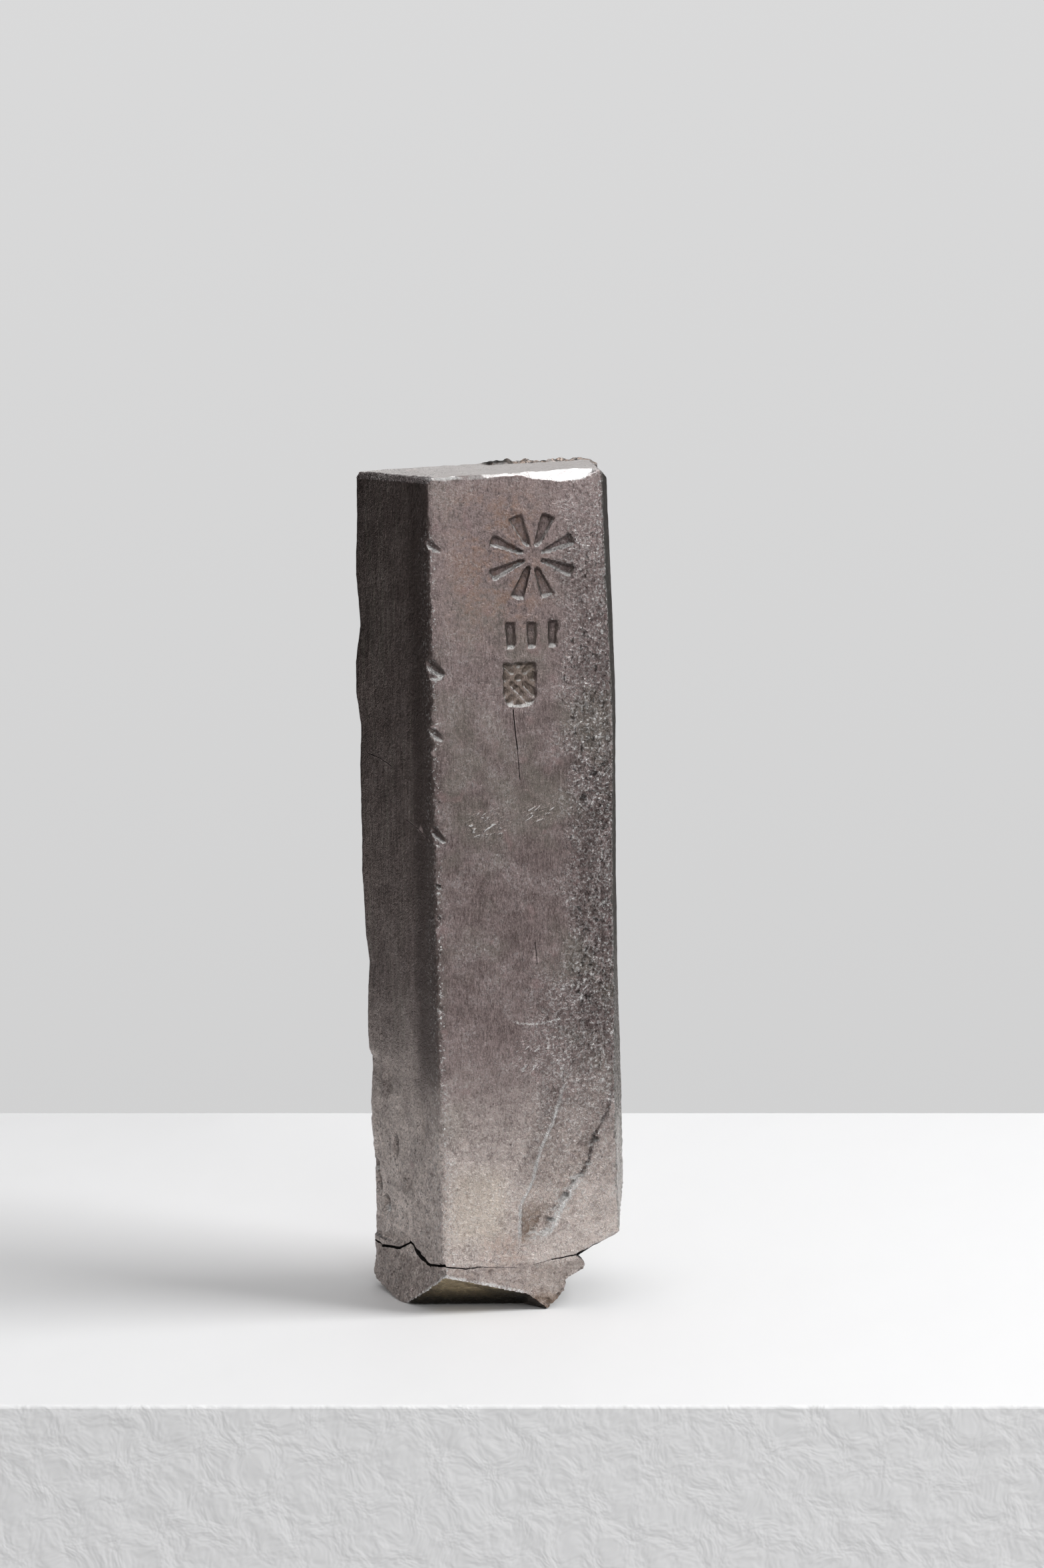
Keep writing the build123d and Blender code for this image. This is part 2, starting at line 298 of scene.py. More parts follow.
def makeCrust(right):
    # a ragged lip of once molten metal along the back of the top
    start = topEnd["crustStart"]
    end = right + rightDraft(bar["height"]) - topEnd["crustEndGap"]
    line = topEnd["crustLine"]
    back = bar["depth"] - 0.3
    crust = addBlock("crust", (start, back - topEnd["crustDepth"], bar["height"] - 4), (end, back, bar["height"]))
    steps = len(line) - 1
    for step in range(1, steps):
        cutBy(crust, (start + (end - start) * step / steps, 0, 0), (1, 0, 0), keep="both")
    cutBy(crust, (0, back - topEnd["crustDepth"] * 0.45, 0), (0, 1, 0), keep="both")
    chance = random.Random(4)
    for step, rise in enumerate(line):
        x = start + (end - start) * step / steps
        at = lambda s, x=x: abs(s.x - x) < 0.05 and s.z > bar["height"] - 1
        for low, high, share in ((0, 23.5, 0.35), (23.5, 26.5, 1.0), (26.5, 40, 0.7)):
            wobble = chance.uniform(-0.25, 0.25)
            slide(crust, lambda s, n: at(s) and low < s.y < high, y=-wobble * 2 if low == 0 else 0,
                  z=rise * share + wobble * share)
    return crust


def makeBevelCutter(right):
    # takes the bright hammered bevel off the front edge of the top
    start, reach = topEnd["bevelStart"], topEnd["bevelReach"]
    line = topEnd["bevelLine"]
    length = right - start
    block = addBlock("bevelCutter", (start, -4, bar["height"]), (start + length * line[-1][0], 16, bar["height"] + 6))
    for share, rise in line[1:-1]:
        cutBy(block, (start + length * share, 0, 0), (1, 0, 0), keep="both")
    cutBy(block, (0, 0, 0), (0, 1, 0), keep="both")
    cutBy(block, (0, reach, 0), (0, 1, 0), keep="both")
    for share, rise in line:
        at = lambda s, x=start + length * share: abs(s.x - x) < 0.05 and s.z < bar["height"] + 1
        slide(block, lambda s, n: at(s) and s.y < 0.1, z=rise)
        slide(block, lambda s, n: at(s) and s.y > 0.1, z=topEnd["rightRise"] + 0.35 + rise * 0.1)
        slide(block, lambda s, n: at(s) and s.y < -1, z=-4)
    return block


toeEnd = {
    "leftInset": 0.5, "leftBulge": 1.15, "backBulge": 0.4,      # against the bar's left side, in front and behind
    "inset": 6.8, "footInset": 13.3,
    "cutReach": 9.3, "cutRise": 4.0,
    # the slanted face is hollow: three planes meet in it, each given by three of its points
    "facetCuts": (((0, 0, 7.9), (-3.4, 10.0, 0), (10.2, 7.0, 0)),
                  ((8.4, 0, 5.8), (18.4, 0, 3.2), (17.5, 6.1, 0)),
                  ((18.2, 0, 3.3), (22.3, 0, 0.0), (17.5, 6.5, 0))),
    "heelReach": 7.5, "heelHeight": 3.6,
    "sideReach": 5.6, "sideHeight": 3.9,
    "bulgeAt": 12.5, "bulgeLow": 2.3, "bulgeHigh": 0.5,
    # the layer below the slanted end is put where a band of shade shows, and the metal paints it black as painted
    # shadow
    "underDrop": 1.1, "underBack": 1.3,          # a dark layer seen below the slanted end
    "cutAboveLap": 0.9, "overlap": 0.4, "cornerRounding": 4.0,
}


def shapeLowerEnd(piece):
    lap = bar["lapHeight"]
    right = rightEdge(lap)
    cutLow = lap + toeEnd["cutAboveLap"]
    cutBy(piece, (0, 0, lap - toeEnd["overlap"]), (0, 0, -1))
    start = right + 0.4 - toeEnd["cutReach"]
    cutBy(piece, (start, 0, cutLow), (toeEnd["cutRise"], 0, -toeEnd["cutReach"]))
    combine(piece, makeToe(right, cutLow), "UNION")
    # a layer set back under the slanted end, where a band of shade shows; the metal paints it black, a painted shadow
    under = addBlock("under", (start - 2, toeEnd["underBack"], cutLow - 2), (right - 0.4, 22, cutLow + 5))
    cutBy(under, (start, 0, cutLow - toeEnd["underDrop"]), (toeEnd["cutRise"] + 0.8, 0, -toeEnd["cutReach"]))
    combine(piece, under, "UNION")


def makeToe(right, cutLow):
    # the layer under the lap, stepped at its right end and worn round where it meets the floor
    depth, lap = bar["depth"], bar["lapHeight"]
    toeRight, footRight = right - toeEnd["inset"], right - toeEnd["footInset"]
    front = leftEdge(5) + toeEnd["leftInset"]
    corner = leftEdge(5) - bar["leftDraft"][0] - toeEnd["leftBulge"]
    back = depth + toeEnd["backBulge"]
    toe = addOutline("toe", (
        (corner - 2, -0.3), (footRight - 1.5, -0.3), (footRight + 2.4, 3.5), (footRight + 2.9, 5.9),
        (toeRight - 0.2, 7.6), (toeRight, 9.1), (toeRight - 2.6, cutLow + 0.4), (corner - 2, lap + 0.6),
    ), 0)
    inEditMode(toe, "FACE", lambda s, n: True)
    bpy.ops.mesh.extrude_region_move(TRANSFORM_OT_translate={"value": (0, back / 1000, 0)})
    bpy.ops.mesh.select_all(action="SELECT")
    bpy.ops.mesh.normals_make_consistent(inside=False)
    leaveEditMode()
    cutBy(toe, (front, 0, 0), (-back, corner - front, 0))
    middle = toeEnd["bulgeAt"]
    cutBy(toe, (0, middle, 0), (0, 1, 0), keep="both")
    slide(toe, lambda s, n: abs(s.y - middle) < 0.01 and s.x < 2 and s.z < 1, x=-toeEnd["bulgeLow"])
    slide(toe, lambda s, n: abs(s.y - middle) < 0.01 and s.x < 2 and s.z > 8, x=-toeEnd["bulgeHigh"])
    roundEdges(toe, lambda s, n: abs(n.z) > 0.9 and s.x < corner + 1 and s.y > 20, toeEnd["cornerRounding"], 4)
    # the worn heel, the lower and upper back, and the worn left corner
    for point, normal in (
        ((0, depth - toeEnd["heelReach"], 0), (0, toeEnd["heelHeight"] * 0.25, -toeEnd["heelReach"] * 0.6)),
        ((0, depth - 0.2, toeEnd["heelHeight"]), (0, 1, -0.8)),
        ((0, back, 7.6), (0, 3.4, 1.0)),
        ((corner, depth, toeEnd["sideHeight"]), (-toeEnd["sideHeight"] * 0.75, 0.6, -toeEnd["sideReach"] * 0.3)),
        ((corner + toeEnd["sideReach"], depth, 0), (-toeEnd["sideHeight"] * 0.28, 0.3, -toeEnd["sideReach"] * 0.66)),
    ):
        cutBy(toe, point, normal)
    return toe


def cutFacet(piece):
    # the smooth hollow face under the front, which runs out before the right end of the foot
    block = addBlock("facetCutter", (-30, -5, -15), (24, 30, 30))
    for points in toeEnd["facetCuts"]:
        cutBy(block, *planeThrough(*points))
    combine(piece, block, "DIFFERENCE")


ingot = makeBar()
shapeTop(ingot)
shapeLowerEnd(ingot)
cutFacet(ingot)
print("bar shaped", len(ingot.data.polygons), "faces")


# Struck marks: a chiselled star, a row of short strokes and a small punch with a lattice

marks = {
    "depth": 0.85,
    "starAt": (19.0, 146.5), "starRays": 8, "starInner": 1.7, "starOuter": 8.7,
    "strokeWidth": 3.1, "strokeStart": 0.36,
    "tallyAt": (18.8, 131.8), "tallyCount": 3, "tallyPitch": 4.1, "tallyLength": 5.6, "tallyWidth": 2.5,
    "punchAt": (16.4, 122.2), "punchSize": (7.2, 9.0), "punchDepth": 0.9,
    "punchRounding": (2.4, 0.5), "punchNarrowing": (0.88, 1, 0.9),          # below and above; towards its floor
    "latticePitch": 2.5, "latticeBar": 0.7, "latticeRelief": 0.5,
}
strokes = []                          # ends and half widths of each stroke, for its raised lip


def noteStroke(x, z, along, length, halfAtStart, halfAtEnd):
    dx, dz = along[0] * length / 2, along[2] * length / 2
    strokes.append((x - dx, z - dz, x + dx, z + dz, halfAtStart, halfAtEnd))


def strikeMarks(piece):
    x, z = marks["starAt"]
    middle = (marks["starInner"] + marks["starOuter"]) / 2
    length = marks["starOuter"] - marks["starInner"]
    chance = random.Random(11)
    for ray in range(marks["starRays"]):
        turn = 2 * math.pi * (ray + 0.5) / marks["starRays"] + chance.uniform(-0.03, 0.03)
        along = (math.sin(turn), 0, math.cos(turn))
        reach = length * chance.uniform(0.93, 1.05)
        stroke = addWedge(
            "stroke", (x + middle * along[0], 0, z + middle * along[2]), along, (0, 1, 0),
            marks["strokeWidth"], marks["depth"] * chance.uniform(0.85, 1.1), reach,
            tip=0.55, ends=0.86, start=marks["strokeStart"],
        )
        combine(piece, stroke, "DIFFERENCE")
        noteStroke(x + middle * along[0], z + middle * along[2], along, reach - 1.6, 0.6, marks["strokeWidth"] * 0.42)
    x, z = marks["tallyAt"]
    for index in range(marks["tallyCount"]):
        shift = (index - (marks["tallyCount"] - 1) / 2) * marks["tallyPitch"]
        stroke = addWedge(
            "tally", (x + shift, 0, z + chance.uniform(-0.2, 0.2)), (chance.uniform(-0.05, 0.05), 0, 1), (0, 1, 0),
            marks["tallyWidth"], marks["depth"] * 0.95, marks["tallyLength"], tip=0.5, ends=0.8, start=0.75,
        )
        combine(piece, stroke, "DIFFERENCE")
        noteStroke(x + shift, z, (0, 0, 1), marks["tallyLength"] - marks["tallyWidth"], marks["tallyWidth"] * 0.42,
                   marks["tallyWidth"] * 0.5)
    strikePunch(piece)


def strikePunch(piece):
    x, z = marks["punchAt"]
    width, height = marks["punchSize"]
    depth, relief = marks["punchDepth"], marks["latticeRelief"]
    punch = addBlock("punch", (x - width / 2, -1, z - height / 2), (x + width / 2, depth, z + height / 2))
    below, above = marks["punchRounding"]
    roundEdges(punch, lambda s, n: abs(n.y) > 0.9 and s.z < z, below, 5)
    roundEdges(punch, lambda s, n: abs(n.y) > 0.9 and s.z > z + height / 2 - 0.1, above, 2)
    inEditMode(punch, "FACE", lambda s, n: n.y > 0.9)
    bpy.ops.transform.resize(value=marks["punchNarrowing"])
    leaveEditMode()
    for step in (-1, 0, 1):
        for turn in (-1, 1):
            at = (x + step * marks["latticePitch"], depth, z)
            rib = addWedge(
                "rib", at, (turn, 0, 1), (0, -1, 0), marks["latticeBar"], relief, 2 * height, tip=0.5, ends=1.0,
            )
            combine(punch, rib, "DIFFERENCE")
    combine(piece, punch, "DIFFERENCE")


# Wear: nicks on the front edges, then cracks

wear = {
    "nicks": (
        # height, size, tilt
        (149.2, 2.6, 30), (126.0, 3.6, 34), (124.2, 2.0, 10), (121.0, 1.3, 30), (113.6, 2.4, 33), (94.3, 2.8, 42),
        (92.6, 1.5, 30), (84.2, 1.6, 10), (78.0, 1.3, 20), (71.3, 1.4, 15), (60.5, 1.5, 30), (101.0, 1.3, 40),
        (139.5, 1.2, 20), (155.0, 1.2, 15), (134.2, 1.0, 35), (106.5, 1.1, 20), (66.0, 1.0, 25), (55.0, 1.2, 30),
        (49.0, 1.3, 15), (88.0, 0.9, 10),
    ),
    "nickDepth": 0.50, "nickLength": 9.0,
    "notchHeight": 47,                # one small notch in the right front edge
}


def nickEdges(piece):
    # each nick has a steep upper wall and an open lower one that catches the light
    for z, size, tilt in wear["nicks"]:
        slope = math.radians(tilt)
        along = (0.92 * math.cos(slope), -0.39 * math.cos(slope), -math.sin(slope))
        depth, lift = wear["nickDepth"] * size, 0.3 + 0.2 * size
        nick = addWedge(
            "nick", (leftEdge(z), 0, z), along, (0.39, 0.92, -0.2), 1.8 * (depth + lift), depth, wear["nickLength"],
            tip=0.1, ends=0.5, lift=lift,
        )
        combine(piece, nick, "DIFFERENCE")
    z = wear["notchHeight"]
    notch = addWedge("notch", (rightEdge(z) + 0.5, 0.5, z), (0, 0, 1), (-0.7, 0.7, 0), 1.6, 1.1, 3.4, ends=0.5)
    combine(piece, notch, "DIFFERENCE")


strikeMarks(ingot)
nickEdges(ingot)
print("marks struck", len(ingot.data.polygons), "faces")


# The lap that runs round the lower end, and the thin cracks. They are cut last, so that they stay sharp.

cracks = {
    # the lap on the left side and on the front: its points, then the width, and the depth, of each stretch
    "lapSide": ((29.5, 9.6), (27.5, 9.4), (22.9, 9.1), (16.2, 10.1), (12.9, 11.7), (9.6, 10.4), (5.7, 8.8),
                (0.2, 9.9)),
    "lapFront": ((-0.6, 10.3), (1.3, 9.8), (5.9, 9.1), (8.8, 9.3), (13.4, 8.8), (17.8, 8.7), (23.1, 9.8),
                 (28.6, 10.6)),
    "lapWidth": (0.65, 0.6, 0.5, 0.55, 0.95, 1.05, 0.65), "lapDepth": 2.4,
    "lapFade": ((0.5, 1.6), (0.45, 1.3), (0.4, 0.7), (0.22, 0.3), (0.2, 0.25), (0.22, 0.3), (0.4, 0.7)),
    # thin cracks: width, depth and points
    "frontLines": (
        (0.34, 0.5, ((15.3, 117.4), (15.7, 113.0), (16.1, 110.0))),
        (0.24, 0.3, ((16.1, 110.0), (16.3, 107.4), (16.6, 104.1))),
        (0.26, 0.3, ((19.6, 72.4), (20.0, 68.3))),
        (0.26, 0.3, ((25.2, 47.1), (25.2, 44.9))),
    ),
    "sideLines": (
        (0.3, 0.25, ((25.0, 106.6), (20.2, 106.2), (15.8, 105.2))),
        (0.3, 0.25, ((11.0, 95.5), (6.4, 94.3), (2.2, 92.7))),
    ),
}


def crackAlong(points, inward, width, depth, seed, lift=0.5):
    # a crack's cutters: one thin wedge for each stretch, a little uneven
    chance = random.Random(seed)
    wedges = []
    for (ax, ay, az), (bx, by, bz) in zip(points, points[1:]):
        along = (bx - ax, by - ay, bz - az)
        reach = math.sqrt(sum(part * part for part in along))
        middle = ((ax + bx) / 2, (ay + by) / 2, (az + bz) / 2)
        wedges.append(addWedge(
            "crack", middle, along, inward, width * chance.uniform(0.8, 1.2), depth * chance.uniform(0.85, 1.15),
            reach * 1.06 + width * 0.7, tip=0.3, ends=0.92, lift=lift,
        ))
    return wedges


def makeCracks():
    slant = math.hypot(leftDraft(10), bar["depth"])
    sideIn = (bar["depth"] / slant, leftDraft(10) / slant, 0)
    lap = [leftPoint(t, z) for t, z in cracks["lapSide"]]
    wedges = []
    for index, width in enumerate(cracks["lapWidth"]):
        wedges += crackAlong(lap[index:index + 2], (*sideIn[:2], 0.3), width, cracks["lapDepth"], index, lift=1.6)
    for index, (width, depth) in enumerate(cracks["lapFade"]):
        line = [(x, 0, z) for x, z in cracks["lapFront"][index:index + 2]]
        wedges += crackAlong(line, (0, 1, 0.25), width, depth, 30 + index)
    for index, (width, depth, points) in enumerate(cracks["frontLines"]):
        wedges += crackAlong([(x, 0, z) for x, z in points], (0, 1, 0), width, depth, 10 + index)
    for index, (width, depth, points) in enumerate(cracks["sideLines"]):
        wedges += crackAlong([leftPoint(t, z) for t, z in points], sideIn, width, depth, 20 + index)
    whole = wedges[0]
    for wedge in wedges[1:]:
        combine(whole, wedge, "UNION")
    return whole


# The skin: a fine even mesh, worked over with soft uneven layers as casting and hammering leave them

skin = {
    "voxel": 0.30,                     # millimetres
    "triangles": 185000,
    "sag": (22.0, 0.45),               # size and height of the slow waves of the cast faces
    "ripple": (5.5, 0.16),
    "grain": (1.2, 0.14),
    "pits": (1.3, 0.60),
    "wrinkles": (1.7, 0.42),
    "toeWrinkles": (2.0, 1.1),
    "sponge": (1.3, 1.0),
    "wornEdges": (2.0, 0.75),
    "topLumps": (2.2, 0.35),
    "easeFactor": 0.5, "easeRounds": 2, "toeRounds": 70,
    # how far the left silhouette stands out or in, by height
    "leftWaves": ((10, 0.0), (25, -0.3), (32, 0.4), (38, 0.2), (44, -0.35), (46, -0.3), (47.5, 0.4), (52, 0.6),
                  (60, 0.1), (65, -0.4), (70, 0.2), (78, 0.5), (83, 0.6), (91, 0.3), (94, 0.4), (98, 0.3),
                  (104, 0.15), (111, -0.35), (114, 0.0), (118, 0.55), (124, 0.45), (127, 0.0), (131, -0.75),
                  (136, -0.5), (141, 0.0), (144, 0.0), (150, -0.4), (158, -0.6)),
    # the fold low on the marked face: its light crest and its dark edge, as x by height
    "foldCrest": ((15.2, 16.6), (20.8, 16.7), (25.4, 19.1), (31.7, 20.7), (37.1, 23.2), (45.5, 25.7)),
    "foldEdge": ((14.0, 20.5), (16.6, 22.4), (21.2, 24.5), (24.9, 27.2), (28.1, 30.1), (34.0, 31.4), (38.6, 34.1),
                 (45.5, 35.5)),
    "crestHeight": 0.6, "troughDepth": 0.85, "edgeDepth": 0.6, "flakeHeight": 0.42,
    "rightSwell": 0.4,
    "pocketTop": 21.5, "pocketDepth": 0.5,
    "lipHeight": 0.26, "rimHeight": 0.22,
    # hollows of the left side: y, height, reach in y, reach in height, depth
    "sideHoles": ((21.6, 17.4, 1.5, 1.9, 1.3), (24.6, 20.6, 1.3, 2.6, 0.9), (17.6, 30.0, 1.2, 3.2, 0.7),
                  (25.8, 24.5, 1.4, 1.6, 0.7), (13.0, 23.0, 2.2, 3.0, 0.5), (8.0, 36.0, 1.6, 4.0, 0.45),
                  (20.0, 43.0, 2.0, 5.0, 0.5)),
    "weightSteps": 24, "pressSteps": 80, "smoothAngle": 50,
}


def paintGroup(piece, name, rule, levels=skin["weightSteps"]):
    # a vertex group weighted by place and facing, in even steps
    mesh = piece.data
    spots, facing = np.empty(len(mesh.vertices) * 3), np.empty(len(mesh.vertices) * 3)
    mesh.vertices.foreach_get("co", spots)
    mesh.vertices.foreach_get("normal", facing)
    spots = spots.reshape(-1, 3) * 1000 + (centreX, centreY, 0)
    weights = np.clip(rule(*spots.T, *facing.reshape(-1, 3).T), 0, 1)
    steps = np.round(weights * levels).astype(int)
    group = piece.vertex_groups.new(name=name)
    for step in range(1, levels + 1):
        found = np.nonzero(steps == step)[0]
        if len(found):
            group.add(found.tolist(), step / levels, "REPLACE")


def press(piece, height, rule):
    # moves the skin straight out by a height, or in, where the rule says
    paintGroup(piece, "press", rule, skin["pressSteps"])
    step = piece.modifiers.new("press", "DISPLACE")
    step.strength = height / 1000
    step.mid_level = 0
    step.vertex_group = "press"
    makeActive(piece)
    bpy.ops.object.modifier_apply(modifier=step.name)
    piece.vertex_groups.remove(piece.vertex_groups["press"])


def swell(piece, kind, size, height, group="", middle=0.5, stretch=(1, 1, 1), **settings):
    # one displacement layer, applied at once
    pattern = bpy.data.textures.new("layer", kind)
    pattern.noise_scale = size / 1000
    for key, value in settings.items():
        setattr(pattern, key, value)
    step = piece.modifiers.new("swell", "DISPLACE")
    step.texture = pattern
    step.texture_coords = "LOCAL"
    guide = None
    if stretch != (1, 1, 1):
        deselectAll()
        bpy.ops.object.empty_add(location=(0, 0, 0))
        guide = bpy.context.active_object
        guide.scale = stretch
        bpy.context.view_layer.update()
        step.texture_coords = "OBJECT"
        step.texture_coords_object = guide
    step.strength = height / 1000
    step.mid_level = middle
    step.vertex_group = group
    makeActive(piece)
    bpy.ops.object.modifier_apply(modifier=step.name)
    if guide:
        bpy.data.objects.remove(guide)
    bpy.data.textures.remove(pattern)


def remesh(piece):
    makeActive(piece)
    step = piece.modifiers.new("skin", "REMESH")
    step.mode = "VOXEL"
    step.voxel_size = skin["voxel"] / 1000
    bpy.ops.object.modifier_apply(modifier=step.name)


def ease(piece, rounds, group=""):
    makeActive(piece)
    step = piece.modifiers.new("ease", "SMOOTH")
    step.factor = skin["easeFactor"]
    step.iterations = rounds
    step.vertex_group = group
    bpy.ops.object.modifier_apply(modifier=step.name)


def near(value, middle, reach):
    # one at the middle, falling to nothing at the reach
    return np.clip(1 - np.abs(value - middle) / reach, 0, 1)


def rise(value, low, high):
    return np.clip((value - low) / (high - low), 0, 1)


def along(line, z):
    heights, places = zip(*line)
    return np.interp(z, heights, places)


def pressFold(piece):
    # a shallow trough between a light crest and a dark edge, a pocket at its foot and a raised flake beside it
    crest, edge = skin["foldCrest"], skin["foldEdge"]
    onFace = lambda y, ny: rise(-ny, 0.3, 0.6) * (y < 4)
    ragged = lambda z: 0.5 * np.sin(z * 1.13 + 2) + 0.35 * np.sin(z * 2.9) + 0.2 * np.sin(z * 5.3 + 1)
    press(piece, -skin["troughDepth"], lambda x, y, z, nx, ny, nz:
          onFace(y, ny) * rise(x - along(crest, z), -0.3, 3.0) * rise(along(edge, z) + ragged(z) - x, -0.1, 1.0)
          * rise(z, 13.2, 14.6) * (1 - rise(z, 18, 46) * 0.8) * (1 - rise(z, 40, 47)))
    press(piece, -skin["pocketDepth"], lambda x, y, z, nx, ny, nz:
          onFace(y, ny) * rise(x - along(crest, z), 0.0, 2.2) * rise(along(edge, z) - 2.0 + ragged(z) - x, 0, 0.9)
          * rise(z, 13.4, 14.4) * (1 - rise(z, 16, skin["pocketTop"])))
    press(piece, skin["crestHeight"], lambda x, y, z, nx, ny, nz:
          onFace(y, ny) * near(x, along(crest, z), 0.75) * rise(z, 14, 16) * (1 - rise(z, 40, 46)))
    press(piece, -skin["edgeDepth"], lambda x, y, z, nx, ny, nz:
          onFace(y, ny) * near(x, along(edge, z) + 0.6 * ragged(z), 0.5) * rise(z, 21, 25)
          * (1 - rise(z, 34, 40)) * (0.6 + 0.4 * np.sin(z * 1.7 + 1)))
    press(piece, skin["flakeHeight"], lambda x, y, z, nx, ny, nz:
          onFace(y, ny) * near(x, along(edge, z) + 1.1 + ragged(z), 1.1) * rise(z, 13.5, 15) * (1 - rise(z, 24, 28)))


def pressSide(piece):
    for y0, z0, reachY, reachZ, depth in skin["sideHoles"]:
        press(piece, -depth, lambda x, y, z, nx, ny, nz:
              rise(-nx, 0.3, 0.6) * rise(1 - np.hypot((y - y0) / reachY, (z - z0) / reachZ), 0, 0.8))


def raiseLips(piece):
    # metal pushed up round each struck mark, and the burr above the slanted face of the toe
    def besideStroke(x, y, z, nx, ny, nz):
        beside = np.zeros(len(x))
        for ax, az, bx, bz, start, end in strokes:
            share = np.clip(((x - ax) * (bx - ax) + (z - az) * (bz - az)) / ((bx - ax) ** 2 + (bz - az) ** 2), 0, 1)
            away = np.hypot(x - ax - (bx - ax) * share, z - az - (bz - az) * share) - start - (end - start) * share
            beside = np.maximum(beside, near(away, 0.55, 0.6))
        px, pz = marks["punchAt"]
        width, height = marks["punchSize"]
        away = np.maximum(np.abs(x - px) - width / 2, np.abs(z - pz) - height / 2)
        return np.maximum(beside, near(away, 0.5, 0.6)) * rise(-ny, 0.5, 0.8) * (y < 0.6)
    press(piece, skin["lipHeight"], besideStroke)
    press(piece, skin["rimHeight"], lambda x, y, z, nx, ny, nz:
          near(np.maximum(*facetRises(x, y, z)), 0.35, 0.6) * rise(nz, -0.5, -0.2) * (z < 9.5))


def facetRises(x, y, z):
    # heights above the two main planes of the slanted face, for numbers and for wires alike
    heights = []
    for points in toeEnd["facetCuts"][:2]:
        at, normal = planeThrough(*points)
        heights.append(z - at.z + ((x - at.x) * normal.x + (y - at.y) * normal.y) / normal.z)
    return heights


def waveEdge(piece):
    atEdge = lambda x, y, z: near(x - (lean(z) - 9.0), 0, 4.5) * rise(y, 20.0, 26.5)
    for sign in (1, -1):
        press(piece, sign * 1.2, lambda x, y, z, nx, ny, nz:
              atEdge(x, y, z) * np.clip(sign * along(skin["leftWaves"], z), 0, 2) / 1.2 * rise(-nx, -0.2, 0.4))
    press(piece, skin["rightSwell"], lambda x, y, z, nx, ny, nz: rise(nx, 0.3, 0.7) * near(z, 117, 36))


def workSkin(piece):
    height = bar["height"]
    remesh(piece)
    print("remeshed", len(piece.data.polygons), "faces")
    ease(piece, skin["easeRounds"])
    paintGroup(piece, "roundToe", lambda x, y, z, nx, ny, nz:
               (1 - rise(z, 7.0, 8.6)) * (1 - rise(x, -2.5, -0.5) * (1 - rise(y, 9, 13))))
    ease(piece, skin["toeRounds"], "roundToe")
    pressFold(piece)
    pressSide(piece)
    waveEdge(piece)
    paintGroup(piece, "sides", lambda x, y, z, nx, ny, nz: 1 - rise(np.abs(nz), 0.3, 0.6))
    paintGroup(piece, "lower", lambda x, y, z, nx, ny, nz: (1 - rise(z, 30, 62)) * rise(z, 2.0, 6.0))
    paintGroup(piece, "toe", lambda x, y, z, nx, ny, nz:
               (1 - rise(z, 8.5, 9.8)) * rise(z, 0.0, 1.0) * np.where((ny < -0.3) & (nz < -0.2), 0.12, 1))
    paintGroup(piece, "pitBand", lambda x, y, z, nx, ny, nz:
               rise(-ny, 0.5, 0.8) * rise(x, 25.0, 29.5) * rise(z, 40, 56) * (1 - rise(z, 140, 158)))
    paintGroup(piece, "crust", lambda x, y, z, nx, ny, nz:
               rise(z, height - 1.0, height + 0.2) * rise(x, 14.5, 16.5) * rise(y, 20.5, 23))
    paintGroup(piece, "top", lambda x, y, z, nx, ny, nz: rise(nz, 0.6, 0.9) * rise(z, 150, 156))
    paintGroup(piece, "backLeft", lambda x, y, z, nx, ny, nz:
               near(x - (lean(z) - 9.0), 0, 4.0) * rise(y, 23.0, 27.0) * rise(z, 9, 14))
    paintGroup(piece, "ridge", lambda x, y, z, nx, ny, nz:
               near(x - lean(z), 0, 1.8) * near(y, 0, 2.0) * rise(z, 12, 20) * (1 - rise(z, 152, 160)))
    paintGroup(piece, "rightFront", lambda x, y, z, nx, ny, nz:
               near(x - (lean(z) + 34.4), 0, 2.0) * near(y, 0, 2.0) * rise(z, 20, 30))
    for name, kind, group, middle, stretch, settings in (
        ("sag", "CLOUDS", "sides", 0.72, (1, 1, 1.6), {"noise_depth": 0}),
        ("ripple", "CLOUDS", "sides", 0.62, (1, 1, 1.5), {"noise_depth": 2}),
        ("wrinkles", "CLOUDS", "lower", 0.66, (1, 1, 0.9), {"noise_depth": 3}),
        ("toeWrinkles", "CLOUDS", "toe", 0.66, (0.8, 0.8, 1.0), {"noise_depth": 3}),
        ("ripple", "CLOUDS", "backLeft", 0.6, (1, 1, 1.2), {"noise_depth": 2}),
        ("wornEdges", "CLOUDS", "ridge", 0.72, (0.7, 0.7, 0.7), {"noise_depth": 3}),
        ("wornEdges", "CLOUDS", "rightFront", 0.7, (0.7, 0.7, 0.8), {"noise_depth": 2}),
        ("sponge", "STUCCI", "crust", 0.6, (1, 1, 1), {"turbulence": 2.0}),
        ("grain", "CLOUDS", "", 0.6, (1, 1, 1.3), {"noise_depth": 3}),
        ("pits", "VORONOI", "pitBand", 0.5, (1, 1, 1.2), {"distance_metric": "DISTANCE", "noise_intensity": 1.0}),
        ("topLumps", "CLOUDS", "top", 0.7, (1, 1, 1), {"noise_depth": 2}),
    ):
        size, amount = skin[name]
        swell(piece, kind, size, amount, group, middle, stretch, **settings)
    raiseLips(piece)


workSkin(ingot)
print("skin worked")


def thin(piece):
    makeActive(piece)
    step = piece.modifiers.new("thin", "DECIMATE")
    step.ratio = min(1, skin["triangles"] / (2 * len(piece.data.polygons)))
    bpy.ops.object.modifier_apply(modifier=step.name)
    bpy.ops.object.vertex_group_remove(all=True)


